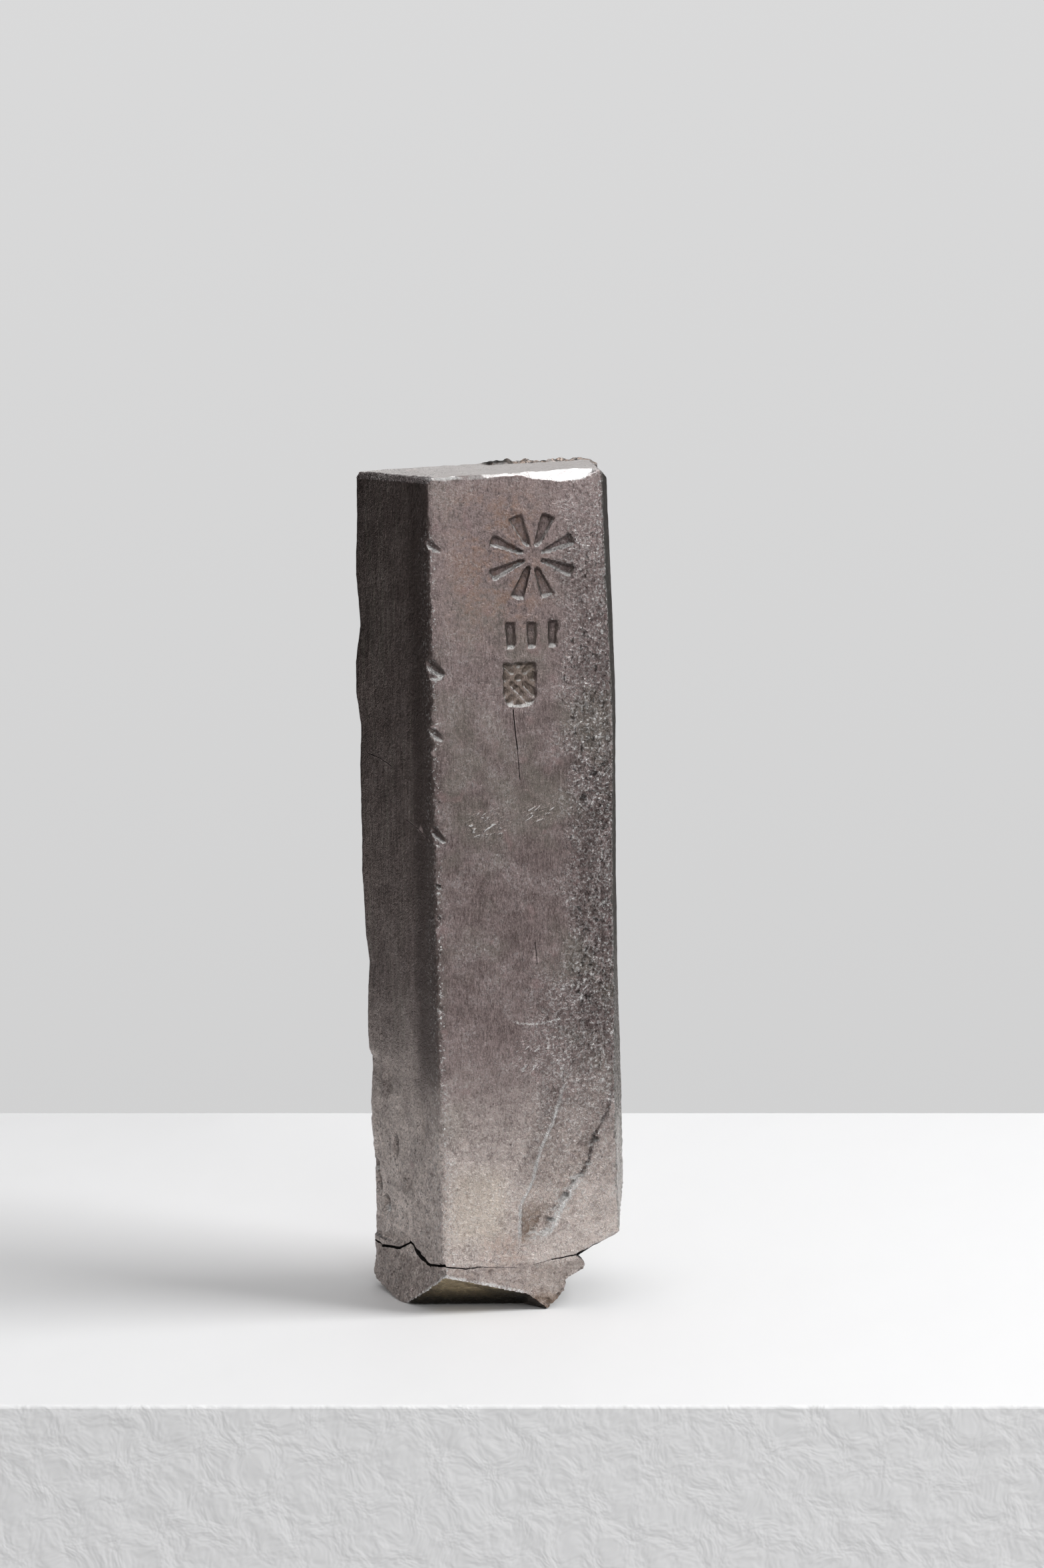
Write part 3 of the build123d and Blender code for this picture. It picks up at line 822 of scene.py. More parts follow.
def trimToSize(piece):
    # a flat foot to stand on, and no bump beyond the size of the plain model: what stands out is pressed flat
    for axis in range(3):
        for side, limit in ((-1, cadBox[0][axis]), (1, cadBox[1][axis])):
            makeActive(piece)
            bpy.ops.object.mode_set(mode="EDIT")
            bpy.ops.mesh.select_mode(type="VERT")
            bpy.ops.mesh.select_all(action="DESELECT")
            bpy.ops.object.mode_set(mode="OBJECT")
            beyond = False
            for vert in piece.data.vertices:
                if (vert.co[axis] - limit) * side > 0:
                    vert.select = beyond = True
            if beyond:
                bpy.ops.object.mode_set(mode="EDIT")
                value, centre = [1, 1, 1], [0, 0, 0]
                value[axis], centre[axis] = 0, limit
                bpy.ops.transform.resize(value=value, center_override=centre)
                bpy.ops.object.mode_set(mode="OBJECT")


thin(ingot)
trimToSize(ingot)
clefts = makeCracks()
for piece in (ingot, clefts):
    for name in ("tarnishedSilver", "crackDark"):
        piece.data.materials.append(bpy.data.materials.get(name) or bpy.data.materials.new(name))
# the crack walls take the second material: painted shade, near black, for the shade inside the cracks
for face in clefts.data.polygons:
    face.material_index = 1
combine(ingot, clefts, "DIFFERENCE")
makeActive(ingot)
bpy.ops.object.shade_smooth_by_angle(angle=math.radians(skin["smoothAngle"]))
print("ingot finished", len(ingot.data.polygons), "faces")


# Shader tools

class Wire:
    # wraps a socket, so that shader maths reads as plain expressions
    def __init__(self, tree, socket=None):
        self.tree, self.socket = tree, socket

    def node(self, kind, settings=None, sockets=None, output=0):
        # any node: its settings first, then the values or links of its sockets
        made = self.tree.nodes.new(kind)
        for name, value in (settings or {}).items():
            if name == "stops":
                stops = made.color_ramp.elements
                while len(stops) < len(value):
                    stops.new(0.5)
                for stop, (position, shade) in zip(stops, value):
                    stop.position = position
                    stop.color = (shade, shade, shade, 1)
            else:
                setattr(made, name, value)
        for name, value in (sockets or {}).items():
            if isinstance(value, Wire):
                self.tree.links.new(value.socket, made.inputs[name])
            else:
                made.inputs[name].default_value = value
        return Wire(self.tree, made.outputs[output])

    def maths(self, operation, first, second=0.0):
        return self.node("ShaderNodeMath", {"operation": operation}, {0: first, 1: second})

    def __add__(self, other):
        return self.maths("ADD", self, other)

    __radd__ = __add__

    def __sub__(self, other):
        return self.maths("SUBTRACT", self, other)

    def __rsub__(self, other):
        return self.maths("SUBTRACT", other, self)

    def __mul__(self, other):
        return self.maths("MULTIPLY", self, other)

    __rmul__ = __mul__

    def __truediv__(self, other):
        return self.maths("DIVIDE", self, other)

    def __neg__(self):
        return self.maths("MULTIPLY", self, -1.0)

    def size(self):
        return self.maths("ABSOLUTE", self)

    def squared(self):
        return self.maths("POWER", self.size(), 2.0)

    def least(self, other):
        return self.maths("MINIMUM", self, other)

    def most(self, other):
        return self.maths("MAXIMUM", self, other)

    def clamped(self):
        return self.most(0.0).least(1.0)

    def step(self, low, high):
        # nothing below low, one above high, and smooth between; the other way round where low is the higher
        first, last = (0.0, 1.0) if low < high else (1.0, 0.0)
        low, high = min(low, high), max(low, high)
        return self.node("ShaderNodeMapRange", {"interpolation_type": "SMOOTHSTEP"},
                         {0: self, 1: low, 2: high, 3: first, 4: last})

    def within(self, middle, outer, inner):
        # one inside the inner reach of a middle, nothing beyond the outer one
        return (self - middle).size().step(outer, inner)

    def follow(self, line, span=50.0):
        # a line given as value by height, read at this height
        stops = [(height / span, value / span) for height, value in line]
        return self.node("ShaderNodeValToRGB", {"stops": stops}, {0: self / span}) * span

    def part(self, axis):
        return self.node("ShaderNodeSeparateXYZ", {}, {0: self}, axis)

    def scaled(self, scale):
        return self.node("ShaderNodeVectorMath", {"operation": "MULTIPLY"}, {0: self, 1: scale})

    def noise(self, scale, detail=3.0, rough=0.55, warp=0.0):
        return self.node("ShaderNodeTexNoise", {}, {
            "Vector": self, "Scale": scale, "Detail": detail, "Roughness": rough, "Distortion": warp})

    def blend(self, first, second, share):
        # two colours mixed by a share
        return self.node("ShaderNodeMix", {"data_type": "RGBA"}, {0: share, 6: first, 7: second}, 2)


def newMaterial(name):
    material = bpy.data.materials.get(name) or bpy.data.materials.new(name)
    material.use_nodes = True
    material.node_tree.nodes.clear()
    return material, Wire(material.node_tree)


def closeTree(wire, shader, kind="ShaderNodeOutputMaterial"):
    out = wire.tree.nodes.new(kind)
    wire.tree.links.new(shader.socket, out.inputs["Surface"])


# The metal: silver gone brown-grey, with dashes, grit, pits and cleaner worked places, and with painted light and
# shade laid into its colour

metal = {
    "dark": (0.132, 0.100, 0.095, 1),
    "pale": (0.47, 0.376, 0.364, 1),
    "warm": (0.330, 0.205, 0.150, 1),
    "rose": (0.40, 0.275, 0.27, 1),
    "straw": (0.80, 0.70, 0.56, 1),
    "blush": (0.66, 0.49, 0.42, 1),
    "olive": (0.24, 0.235, 0.19, 1),
    # the paler metal of the lower end; it is painted lighter still towards the floor, a painted reflection of the
    # pale floor
    "low": (0.842, 0.738, 0.688, 1),              # the cleaner lower end
    "bark": (0.36, 0.27, 0.215, 1),
    # the left side's dark tarnish, with painted shade in it
    "sideDark": (0.098, 0.075, 0.069, 1),
    "sidePale": (0.345, 0.28, 0.262, 1),
    "green": (0.14, 0.14, 0.125, 1),
    "bright": (0.92, 0.91, 0.90, 1),
    "gold": (0.42, 0.33, 0.19, 1),
    # near black: real dark dust, pits, seams and crust, and also painted shade in hollows, under walls, in the gap
    # and in the cracks
    "soot": (0.012, 0.010, 0.009, 1),
    # clean metal, and also a painted highlight on the crest of the fold
    "clean": (0.66, 0.645, 0.64, 1),
    "top": (0.35, 0.325, 0.315, 1),
    "chamfer": (0.105, 0.085, 0.083, 1),
    "bevel": (0.46, 0.45, 0.447, 1),
    "facet": (0.54, 0.44, 0.29, 1),
    # painted contact shade at the foot of the slanted face
    "facetContactShade": (0.035, 0.028, 0.018, 1),
    "roughness": 0.33,
    "crackRoughness": 0.9,
    "relief": 1.35,
    # patterns, from slow to fine: stretch, scale per millimetre, detail, roughness and warp
    "patterns": {
        "slow": (None, 0.05, 3.0, 0.6),
        "cloud": (None, 0.18, 4.0, 0.62, 0.4),
        "rosy": (None, 0.22, 2.0, 0.5, 0.2),
        "mottle": (None, 0.75, 4.0, 0.65, 0.3),
        "curl": (None, 0.85, 2.2, 0.5, 0.9),
        "coarse": (None, 1.15, 4.0, 0.68, 0.5),
        "grit": (None, 2.0, 3.0, 0.65),
        "dust": (None, 4.6, 2.0, 0.6),
        "hole": ((1.0, 1.0, 0.75), 0.95, 2.0, 0.55, 1.0),
        "streak": ((0.9, 0.9, 0.04), 1.0, 3.0, 0.6),
        "line": ((4.5, 4.5, 0.16), 1.0, 3.0, 0.7),
        "dash": ((2.6, 2.6, 0.65), 1.0, 3.0, 0.7),
        "fleck": ((3.4, 3.4, 2.0), 1.0, 2.0, 0.6, 0.6),
        "fibre": ((6.0, 6.0, 1.8), 1.0, 3.0, 0.7),
    },
    # soft places on the marked face: middle, outer and inner reach across, and then the same upwards
    "golden": (8.5, 7.5, 3.0, 21.0, 10.0, 4.0),
    "pinkish": (13.5, 6.0, 2.0, 12.5, 4.5, 1.5),
    "hammered": ((10.0, 4.6, 2.6, 95.6, 3.6, 1.6), (20.5, 4.2, 2.4, 97.0, 2.4, 1.0)),
    "hammeredLow": (21.5, 7.5, 4.5, 50.0, 5.0, 2.0),
    "arcAt": (19.7, 56.6),                        # the lowest point of one faint light arc
}


def readSkin(w):
    # where a point of the skin lies, in bar millimetres, which way it faces, and the patterns there
    s = SimpleNamespace()
    spot = w.node("ShaderNodeTexCoord", output=3).scaled((1000, 1000, 1000))
    s.x, s.y, s.z = spot.part(0) + centreX, spot.part(1) + centreY, spot.part(2)
    facing = w.node("ShaderNodeNewGeometry", output=1)
    s.nx, s.ny, s.nz = facing.part(0), facing.part(1), facing.part(2)
    pointiness = w.node("ShaderNodeNewGeometry", output=7)
    # hollow and proud places; the colour darkens the first as painted shade and lightens the second as painted
    # highlight
    s.sunk, s.proud = pointiness.step(0.485, 0.43), pointiness.step(0.515, 0.58)
    for name, (stretch, *settings) in metal["patterns"].items():
        setattr(s, name, (spot.scaled(stretch) if stretch else spot).noise(*settings))
    slanting = w.node("ShaderNodeCombineXYZ", {}, {
        0: (s.x * 0.85 + s.z * 0.5) * 0.55, 1: s.y * 0.5, 2: (s.z * 0.85 - s.x * 0.5) * 1.9})
    s.slash = slanting.noise(1.0, 2.0, 0.5, 0.6)
    return s


def findPlaces(s):
    # the parts of the skin that have a look of their own, each as a mask
    x, y, z, nx, ny, nz = s.x, s.y, s.z, s.nx, s.ny, s.nz
    patch = lambda px, outerX, innerX, pz, outerZ, innerZ: x.within(px, outerX, innerX) * z.within(pz, outerZ, innerZ)
    s.leftFace = (-nx).step(0.45, 0.75) * nz.step(0.5, 0.3)
    s.onFront = (-ny).step(0.25, 0.6)
    s.ridge = x - lean(z)                         # distance from the left front edge
    s.ragged = (s.mottle - 0.5) * 3.0
    s.toe = z.step(9.6, 8.6)
    s.low = z.step(55, 20) * (1 - s.toe * 0.34)
    s.golden, s.pinkish = patch(*metal["golden"]), patch(*metal["pinkish"])
    s.inPunch = x.within(marks["punchAt"][0], 3.8, 3.4) * z.within(marks["punchAt"][1], 4.7, 4.2) * y.step(0.25, 0.5)

    # the top
    s.bevel = (-ny).step(0.25, 0.5) * nz.step(0.2, 0.45) * z.step(158.0, 160.4) * x.step(9.0, 13.0)
    s.chamfer = (-nx).step(0.15, 0.4) * nz.step(0.3, 0.5) * z.step(157, 159.5)
    s.topRim = (-ny).step(0.1, 0.4) * (z + s.ragged * 0.25).step(161.0, 161.5) * x.step(13, 9)
    s.crust = z.step(161.2, 162.0) * y.step(21.0, 23.5) * x.step(14.5, 16.5)

    # the slanted face of the toe, and the gap at the slanted lower right end, where a painted shadow goes
    above = facetRises(x, y, z)
    s.above = above[0].most(above[1])
    s.facet = ((-nz).step(0.35, 0.6) * (-ny).step(0.15, 0.4) * s.above.step(0.7, 0.3)
               * x.step(19.6, 18.2) * z.step(8.8, 7.8))
    s.gap = (x * 0.43 - z - 1.2).step(-0.05, 0.1) * z.step(9.3, 9.6) * y.step(0.8, 1.1) * x.step(26.5, 27.2)

    # the pitted band on the right, the worm-like relief and the winding seams
    s.pitBand = ((s.ridge + (s.cloud - 0.5) * 12.0).step(23.5, 29.0) * z.step(38, 52) * z.step(166, 140)
                 * (-ny).step(0.2, 0.6) * (0.45 + 0.55 * s.mottle.step(0.36, 0.55)))
    s.rugged = (s.pitBand + s.low * 0.55 + s.ridge.step(15, 24) * z.step(74, 56) * z.step(14, 26) * 0.9).least(1.0)
    s.edgeLine = s.ridge.within(33.2, 1.3, 0.3) * (-ny).step(0.2, 0.5)
    s.worm = (s.curl - 0.5).size().step(0.10, 0.0)
    s.seam = ((s.curl - 0.5).size().step(0.035, 0.0) * s.leftFace * z.step(48, 26)
              * (0.25 + s.cloud.step(0.42, 0.58)))
    s.dots = (s.hole + (1 - s.pitBand) * 0.19 - (s.cloud - 0.5) * 0.25).step(0.43, 0.34)
    s.speck = s.grit.step(0.57, 0.64)

    # small hammered places, whose fine traces take painted highlights
    left, right = metal["hammered"]
    s.worked = patch(*left).most(patch(*right)).most(patch(*metal["hammeredLow"]) * 0.6)


def swing(s, level, **amounts):
    # a level that the named patterns push up and down
    for name, amount in amounts.items():
        level = level + (getattr(s, name) - 0.5) * amount
    return level


def layered(w, colour, *layers):
    # lays colours, or those of the dictionary, over one another, each by its share
    for over, share in layers:
        colour = w.blend(colour, metal[over] if isinstance(over, str) else over, share)
    return colour


def frontColour(w, s):
    # the marked face and the sides like it
    x, z = s.x, s.z
    tone = swing(s, 0.41, dash=1.3, fibre=1.7, mottle=0.6, cloud=0.7) - z.step(50, 66) * z.step(122, 104) * 0.12
    high = z.step(112, 150) * (0.2 + 0.8 * (s.grit * 0.4 + s.dash * 0.3 + s.mottle * 0.3).step(0.43, 0.57))
    nearMarks = x.within(12.0, 14.0, 3.0) * z.step(126, 140) * z.step(163, 154)
    brownLow = z.step(25, 12) * x.within(12.0, 16.0, 6.0) * (s.mottle * 0.7 + s.slow * 0.6).step(0.60, 0.82) * 0.9
    brown = (nearMarks * (s.cloud * 0.6 + s.mottle * 0.6).step(0.52, 0.72)).most(brownLow)
    # paler lower metal, lighter towards the bottom as a painted reflection of the floor
    lowTone = swing(s, 0.66 + 0.20 * z.step(36, 18), grit=1.2, fibre=0.8, mottle=1.0, cloud=0.9)
    return layered(
        w, metal["dark"],
        ("pale", tone.clamped()),
        ("olive", s.slow.step(0.50, 0.66) * 0.35),
        ("pale", high * 0.7),
        ("warm", brown * 0.7),
        ("gold", s.inPunch * 0.2),
        ("rose", s.rosy.step(0.60, 0.72) * 0.35),
        ("low", (s.low * lowTone).clamped()),
        ("straw", s.golden * (0.5 + s.cloud) * 0.30),
        ("blush", s.pinkish * s.mottle.step(0.40, 0.58) * 0.6),
    )


def sideColour(w, s):
    # the left side: dark tarnish with painted shade in it, and fine upright lines
    z = s.z
    lines = (s.line * 0.4 + s.streak * 0.12 + s.grit * 0.28 + s.cloud * 0.2).step(0.38, 0.64)
    lowTone = swing(s, 0.68, mottle=1.2, grit=1.2, fibre=1.6, cloud=1.6)
    return layered(
        w, metal["sideDark"],
        ("sidePale", lines * (0.75 + 0.25 * z.step(130, 60))),
        ("olive", s.streak.step(0.52, 0.66) * 0.25),
        # painted reflection of the floor: the left side lighter towards the bottom
        ("low", (z.step(68, 18) * (1 - s.toe * 0.28) * lowTone).clamped()),
        # a painted shadow strip on the left side, along the ridge
        ("sideDark", s.ridge.within(-1.0, 2.0, 0.7) * z.step(34, 52) * 0.85),
    )


def foldLayers(s):
    # the fold low on the marked face: a painted shadow behind its crest, a painted highlight on the crest and on the
    # flake, painted shade in the groove of its edge, its brown pocket, and painted shade in the hollows of the left
    # side
    y, z = s.y, s.z
    crest = s.x - z.follow(skin["foldCrest"])
    edge = s.x - z.follow(skin["foldEdge"]) - s.ragged * 0.5
    span = z.step(13.0, 15.5) * z.step(47, 40) * s.onFront
    behindCrest = crest.within(-1.6, 2.6, 0.6) * crest.step(0.2, -0.5) * z.step(16, 30)
    pocket = (crest.step(0.0, 0.9) * (edge + 2.0 + s.ragged * 0.3).step(0.3, -0.5)
              * z.step(13.2, 14.2) * z.step(22.5, 17.5) * s.onFront)
    flake = span * z.step(28, 24) * (edge - 0.7 + s.ragged * 0.3).size().step(1.2, 0.5) * (1 - pocket)
    layers = [
        # painted shadow behind the crest
        ("dark", span * behindCrest * (0.1 + 0.25 * s.cloud)),
        # painted highlight on the crest
        ("clean", span * (crest + s.ragged * 0.25).size().step(0.6, 0.15) * (0.6 + 0.4 * s.grit.step(0.4, 0.56))),
        # painted shade in the groove of the dark edge
        ("dark", span * edge.size().step(0.55, 0.15) * z.step(21, 25) * 0.85),
        ("bark", pocket * (0.45 + 0.5 * s.mottle.step(0.4, 0.6))),
        # painted highlight on the flake's edge
        ("bright", flake * (0.3 + 0.7 * s.grit.step(0.42, 0.54))),
    ]
    for y0, z0, reachY, reachZ, depth in skin["sideHoles"][:4]:          # the deeper ones
        away = ((y - y0) * (1 / reachY)).squared() + ((z - z0) * (1 / reachZ)).squared()
        # painted shade inside the deeper hollows
        layers.append(("soot", (away + s.ragged * 0.25).step(0.7, 0.1) * s.leftFace * min(0.85, depth * 0.65)))
    return layers


def findGlint(s):
    # painted highlights, like sparkle: flecks, specks on the ridge and the right edge, worm-like relief, hammer
    # traces and a faint arc
    z, ridge = s.z, s.ridge
    arcX, arcZ = metal["arcAt"]
    bowed = ((s.x - arcX) * 0.2).squared() * 0.9
    arc = (z - arcZ - bowed + (s.mottle - 0.5) * 0.8).size().step(0.34, 0.08) * s.x.within(arcX, 5.6, 3.8)
    onRidge = (ridge.size().step(1.5, 0.5) * s.y.step(6.0, 3.0) * z.step(155, 150) * 1.3
               + 0.45 * ridge.size().step(4.0, 1.0) * s.low + 0.12 * s.low)
    onEdge = s.pitBand * 0.55 + s.edgeLine * 0.95 * z.step(36, 50)
    lumps = (s.coarse.step(0.60, 0.65) * s.grit.step(0.47, 0.55) * ridge.step(25, 31)
             * (-s.ny).step(0.2, 0.6) * z.step(36, 50) * 0.9)
    return (
        s.dust.step(0.56, 0.68) * (0.12 + 0.4 * s.proud)
        + s.fleck.step(0.60, 0.70) * s.cloud.step(0.42, 0.62) * 0.22
        + s.speck * onRidge + s.speck * onEdge + lumps
        + s.worm * s.grit.step(0.42, 0.56) * (s.rugged * 0.45 + s.cloud.step(0.46, 0.62) * 0.16)
        + s.worked * s.slash.step(0.60, 0.67) * 0.75 + arc * s.grit.step(0.40, 0.52) * 0.5
    ).least(1.0)


def wearAndLightLayers(s, glint):
    # the bright bevel and rim of the top, painted highlights on proud places and on small walls that face up, painted
    # shade under walls that face down, dark seams, and the painted glints
    x, z = s.x, s.z
    paintedSkyLight = s.nz.step(0.25, 0.62) * z.step(159.0, 157.5) * z.step(13.0, 14.5)
    paintedUnderShade = (-s.nz).step(0.2, 0.55)
    return (
        ("bevel", s.bevel * (0.35 + 0.65 * x.step(10, 24)) * (0.55 + 0.45 * s.mottle.step(0.36, 0.6))),
        ("bright", s.topRim * (0.5 + 0.5 * x.step(6, 3))),
        # painted highlight on proud places
        ("pale", s.proud * (0.3 + s.mottle)),
        # painted highlight on walls that face up
        ("bright", paintedSkyLight * (0.45 + 0.55 * s.grit.step(0.36, 0.5))),
        # painted shade under walls that face down
        ("soot", paintedUnderShade * 0.5 * z.step(9.5, 11) * z.step(161, 158)),
        ("soot", s.seam.least(1.0) * 0.6),
        # painted highlights: the glints
        ("bright", glint * (1 - s.leftFace * (0.75 - 0.4 * s.low)) * (1 - s.bevel)),
    )


def toeLayers(w, s):
    # the slanted face of the toe, darker towards the floor contact as painted contact shade; the painted highlight on
    # its burr; the rough end beside it, with painted shade on its walls that face down or right; and the painted
    # shadow in the gap under the right end
    x, z = s.x, s.z
    burr = s.above.step(1.0, 0.5) * s.above.step(-0.2, 0.2) * s.toe * (1 - s.facet) * x.step(19, 17)
    facetShading = z.step(0.6, 6.0) * x.step(21, 6) * (0.45 + 0.55 * x.step(-1.5, 4.0)) + (s.mottle - 0.5) * 0.5
    endShade = (-s.nz).step(0.2, 0.5).most(s.nx.step(0.4, 0.7) * 0.6)
    return (
        # painted highlight along the burr
        ("bright", burr * (0.3 + 0.7 * s.grit.step(0.42, 0.56))),
        ("bark", s.toe * s.onFront * z.step(4.2, 2.2) * x.step(16, 18.5) * (0.5 + 0.5 * s.mottle.step(0.35, 0.6))),
        # painted shade on the end's walls that face down or right
        ("soot", s.toe * endShade * x.step(18, 19.5) * 0.85),
        # painted contact shade: the slanted face darkens towards the floor, and at both ends
        (w.blend(metal["facetContactShade"], metal["facet"], facetShading.clamped()), s.facet),
        # painted shadow in the gap under the slanted end
        ("soot", s.gap * (1 - s.nx.step(0.6, 0.8))),
    )


def darkLayers(w, s):
    # the crust behind the top, then painted shade in hollows, dust and pits
    smooth = (1 - s.bevel) * (1 - s.facet)
    return (
        (w.blend(metal["bark"], metal["clean"], s.mottle.step(0.44, 0.60)), s.crust * 0.75),
        ("soot", s.crust * (s.x.step(24, 19) * 0.97).most((s.mottle * 0.6 + s.grit * 0.5).step(0.47, 0.62))),
        # painted shade in hollows
        ("soot", s.sunk * 0.4),
        ("soot", s.dust.step(0.42, 0.33) * 0.25 * smooth),
        ("soot", s.dots * 0.7 * smooth),
    )


def findRelief(s):
    # height in millimetres
    notLeft = 1 - s.leftFace
    calmLeft = 1 - s.leftFace * 0.6
    ridgeSpecks = s.ridge.size().step(1.5, 0.5).most(s.edgeLine) * s.speck * 0.4
    height = (
        s.grit * 0.16 * calmLeft + s.dash * 0.14 * notLeft + s.dust * 0.05 + s.mottle * 0.30 * calmLeft
        + s.line * 0.08 * s.leftFace - s.dots * 0.34 - s.seam * 0.25 + s.fibre * (0.08 + 0.04 * s.low)
        + s.slash.step(0.48, 0.66) * 0.3 * s.worked + s.worm * (0.02 + 0.20 * s.rugged) + ridgeSpecks
        + s.coarse * (0.20 + 0.62 * s.rugged) * (1 - s.leftFace * 0.4)
    )
    return height * metal["relief"] * (1 - s.facet * 0.8) * (1 - s.bevel * 0.7)


def makeMetal():
    material, w = newMaterial("tarnishedSilver")
    s = readSkin(w)
    findPlaces(s)
    glint = findGlint(s)
    side = sideColour(w, s)
    # the right face: the left side's colour, painted shade included, tinted green-grey
    rightSide = w.blend(metal["green"], side, 0.25 + 0.5 * s.streak.step(0.42, 0.6))
    colour = layered(
        w, frontColour(w, s),
        (side, s.leftFace), (rightSide, s.nx.step(0.45, 0.75)),
        ("top", s.nz.step(0.6, 0.85)), ("chamfer", s.chamfer),
        *foldLayers(s), *wearAndLightLayers(s, glint), *toeLayers(w, s), *darkLayers(w, s),
    )
    rough = (
        swing(s, metal["roughness"], mottle=0.25, grit=0.3) + s.sunk * 0.25 - s.bevel * 0.08 - s.facet * 0.06
        + s.crust * 0.3 + s.leftFace * 0.04 - glint * 0.1 - s.rugged * 0.05
    )
    bump = w.node("ShaderNodeBump", {}, {"Strength": 1.0, "Distance": 0.001, "Height": findRelief(s)})
    shader = w.node("ShaderNodeBsdfPrincipled", {}, {
        "Base Color": colour, "Metallic": 1.0, "Roughness": rough, "Normal": bump})
    closeTree(w, shader)


# Painted shade: the walls of the cracks, near black and dull
def makeCrackShade():
    material, w = newMaterial("crackDark")
    shader = w.node("ShaderNodeBsdfPrincipled", {}, {
        "Base Color": metal["soot"], "Metallic": 0.0, "Roughness": metal["crackRoughness"],
        "Specular IOR Level": 0.2})
    closeTree(w, shader)


makeMetal()
makeCrackShade()
print("metal made")


# The studio: a pale slab under the ingot, a plain pale wall, soft lamps, and panels that only the metal mirrors

studio = {
    "cameraAt": (-180.35, -791.5, 233.0),              # in bar millimetres
    "cameraTurn": -14.0, "cameraPitch": 9.04, "lens": 100,
    "slabBack": 0.9815, "slabFront": 0.7546,           # level distances from the camera, along its view
    "slabWidth": 1.3, "slabThickness": 0.075, "slabRounding": 0.6,
    "slab": (0.86, 0.86, 0.865, 1), "slabRoughness": 0.7,
    "wallTop": 0.70, "wallLow": 0.635, "ambient": (0.10, 0.47),          # near the horizon, overhead
    "wallTint": (1.0, 1.0, 1.003, 1),
    # place in metres, aim, size and power; the last one lights the front of the slab
    "lamps": {
        "keyLamp": ((1.02, -0.40, 1.12), (0, 0, 0.06), 0.72, 20.5),
        "fillLamp": ((0.1, -1.15, 0.85), (0, 0, 0), 0.55, 1.9),
        "shelfLamp": ((-0.15, -1.25, -0.35), (0, -0.05, -0.04), 0.6, 6.2),
    },
    # width, height and level of the dark panel behind the slab, left of its middle by a shift and sunk by a drop
    "darkBack": (0.76, 1.1, 0.012), "darkBackShift": 0.45, "darkBackDrop": 0.033, "darkBackGap": 0.01,
    # place, direction across, width, height, level and direction up
    "panels": {
        "darkSide": ((-0.62, -0.02, 0.32), (0, 1, 0), 0.6, 0.62, 0.012),
        "darkRight": ((0.60, 0.16, 0.10), (0.35, -1, 0), 0.45, 0.8, 0.048),
        "darkEdge": ((0.20, 0.26, 0.05), (1, -0.3, 0), 0.26, 0.32, 0.036),
        "greyFront": ((0.25, -0.95, 0.35), (1, 0, 0), 2.0, 1.5, 0.50),
        "skyPanel": ((0.12, 0.28, 0.92), (1, 0, 0), 0.72, 1.15, 4.0, (0, 1, 0)),
        "glintPanel": ((0.55, -0.95, 0.85), (0.87, 0.5, 0), 0.5, 0.5, 7.0, (-0.27, 0.47, 0.84)),
    },
}
cameraPlace = place(*studio["cameraAt"])
cameraTurn = math.radians(studio["cameraTurn"])
viewAlong = Vector((-math.sin(cameraTurn), math.cos(cameraTurn), 0))
viewAcross = Vector((math.cos(cameraTurn), math.sin(cameraTurn), 0))


def makeCamera():
    deselectAll()
    tilt = math.radians(90) - math.radians(studio["cameraPitch"])
    bpy.ops.object.camera_add(location=cameraPlace, rotation=(tilt, 0, cameraTurn))
    camera = bpy.context.active_object
    camera.name = "camera"
    camera.data.lens = studio["lens"]
    camera.data.sensor_width = 36
    camera.data.clip_start = 0.01
    bpy.context.scene.camera = camera


def makeSlab():
    length = studio["slabBack"] - studio["slabFront"]
    middle = cameraPlace + viewAlong * (studio["slabBack"] + studio["slabFront"]) / 2
    deselectAll()
    bpy.ops.mesh.primitive_cube_add(
        size=1, location=(middle.x, middle.y, -studio["slabThickness"] / 2), rotation=(0, 0, cameraTurn),
        scale=(studio["slabWidth"], length, studio["slabThickness"]),
    )
    slab = bpy.context.active_object
    slab.name = "slab"
    bpy.ops.object.transform_apply(location=True, rotation=True, scale=True)
    roundEdges(slab, lambda s, n: abs(n.z) < 0.1, studio["slabRounding"])
    material, w = newMaterial("paintedPlaster")
    spot = w.node("ShaderNodeTexCoord", output=3)
    front = (-w.node("ShaderNodeNewGeometry", output=1).part(1)).step(0.4, 0.8)
    lumps = spot.noise(170.0, 3.0, 0.6, 0.4) * front + spot.noise(45.0, 2.0, 0.5) * 0.35
    bump = w.node("ShaderNodeBump", {}, {"Strength": 1.0, "Distance": 0.0009, "Height": lumps})
    shader = w.node("ShaderNodeBsdfPrincipled", {}, {
        "Base Color": studio["slab"], "Roughness": studio["slabRoughness"], "Normal": bump})
    closeTree(w, shader)
    slab.data.materials.append(material)


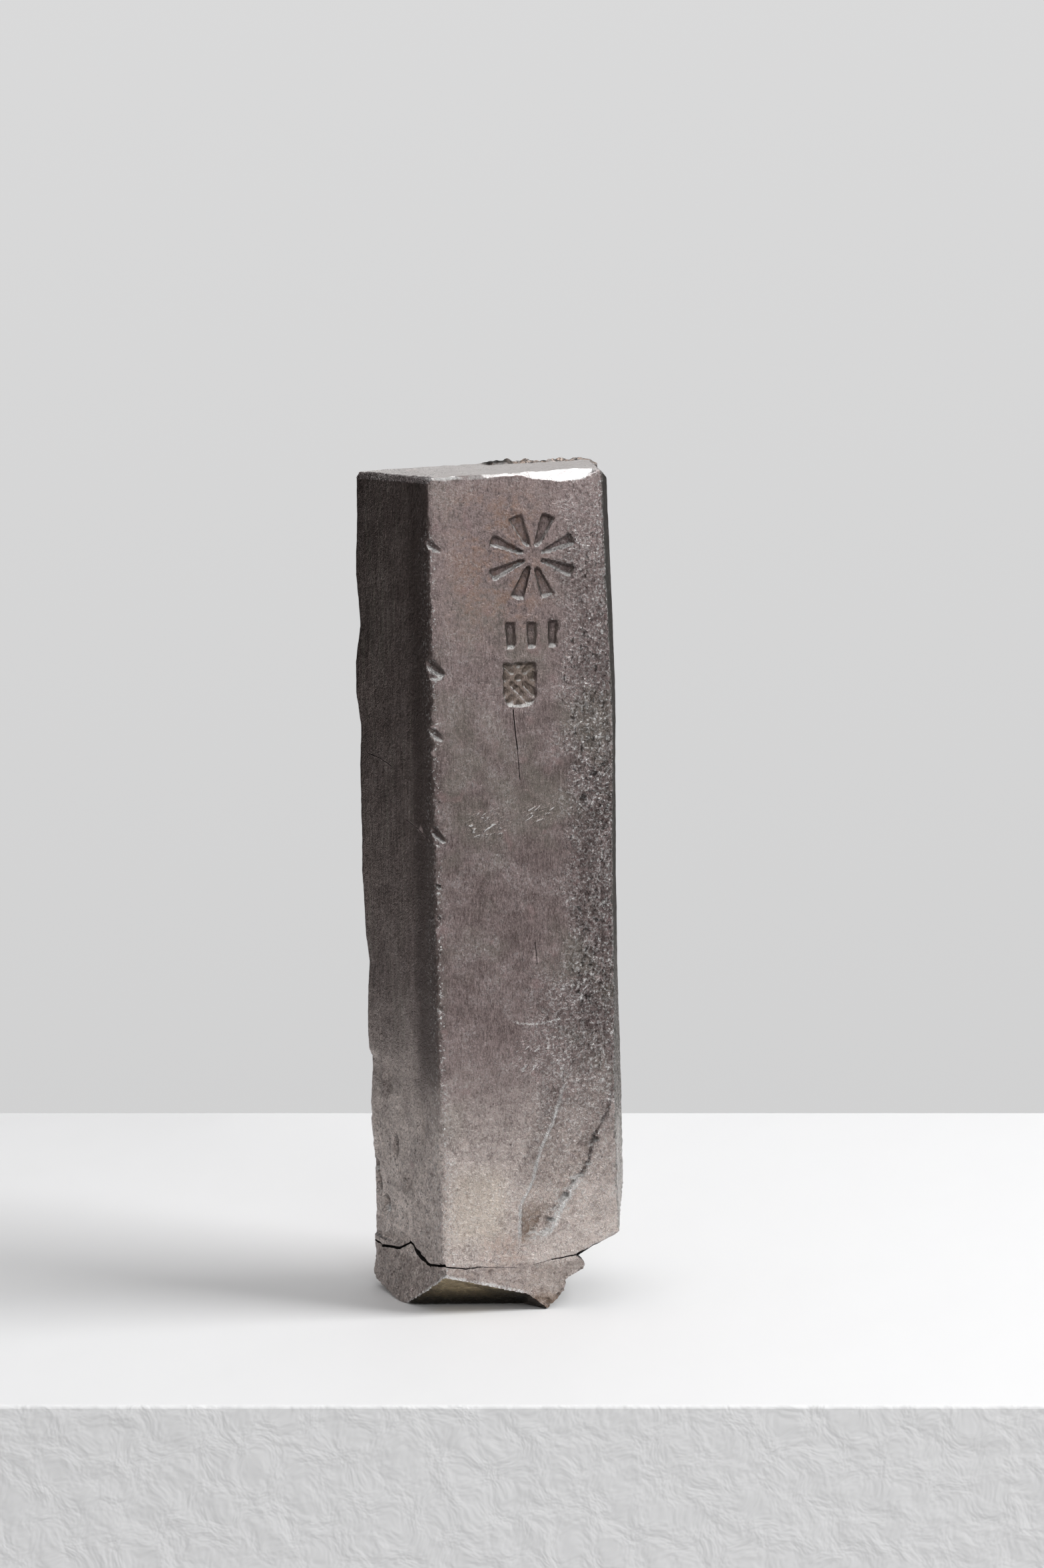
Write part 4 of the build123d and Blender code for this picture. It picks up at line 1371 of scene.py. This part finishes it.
def makePanel(name, spot, across, width, tall, shade, up=(0, 0, 1)):
    # a panel that only reflections see
    deselectAll()
    across, up = Vector(across).normalized(), Vector(up).normalized()
    turn = Matrix((across, up, across.cross(up))).transposed().to_euler()
    bpy.ops.mesh.primitive_plane_add(size=1, location=spot, rotation=turn)
    panel = bpy.context.active_object
    panel.name = name
    panel.scale = (width, tall, 1)
    bpy.ops.object.transform_apply(location=True, rotation=True, scale=True)
    material, w = newMaterial(name + "Cloth")
    shader = w.node("ShaderNodeEmission", {}, {"Color": (shade, shade, shade, 1), "Strength": 1.0})
    closeTree(w, shader)
    panel.data.materials.append(material)
    panel.visible_camera = False
    panel.visible_diffuse = False
    panel.visible_shadow = False
    panel.visible_transmission = False


def makeLamp(name, spot, target, size, power):
    # a lamp for the slab and for dull places; the metal mirrors the panels instead
    deselectAll()
    aim = (Vector(target) - Vector(spot)).to_track_quat("-Z", "Y").to_euler()
    bpy.ops.object.light_add(type="AREA", location=spot, rotation=aim)
    lamp = bpy.context.active_object
    lamp.name = name
    lamp.data.shape = "SQUARE"
    lamp.data.size = size
    lamp.data.energy = power
    lamp.visible_glossy = False


def makeWorld():
    world = bpy.data.worlds.new("studioWall")
    bpy.context.scene.world = world
    world.use_nodes = True
    world.node_tree.nodes.clear()
    w = Wire(world.node_tree)
    upwards = w.node("ShaderNodeTexCoord", output=0).part(2)
    wall = w.node("ShaderNodeMapRange", {}, {
        0: upwards, 1: -0.25, 2: 0.03, 3: studio["wallLow"], 4: studio["wallTop"]})
    ambient = w.node("ShaderNodeMapRange", {}, {
        0: upwards, 1: -0.1, 2: 0.7, 3: studio["ambient"][0], 4: studio["ambient"][1]})
    camera, glossy, transmission = (w.node("ShaderNodeLightPath", output=ray) for ray in (0, 3, 6))
    seen = camera.most(glossy).most(transmission)
    shader = w.node("ShaderNodeBackground", {}, {
        "Color": studio["wallTint"], "Strength": wall * seen + ambient * (1 - seen)})
    closeTree(w, shader, "ShaderNodeOutputWorld")


makeCamera()
makeSlab()
makeWorld()
backLine = cameraPlace + viewAlong * (studio["slabBack"] + studio["darkBackGap"])
backSpot = backLine + viewAcross * -studio["darkBackShift"] + Vector((0, 0, -studio["darkBackDrop"]))
makePanel("darkBack", backSpot, viewAcross, *studio["darkBack"])
for name, values in studio["panels"].items():
    makePanel(name, *values)
for name, values in studio["lamps"].items():
    makeLamp(name, *values)
bpy.context.scene.view_settings.view_transform = "Standard"
print("studio ready")

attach(ingot, "root")
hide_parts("ingot")
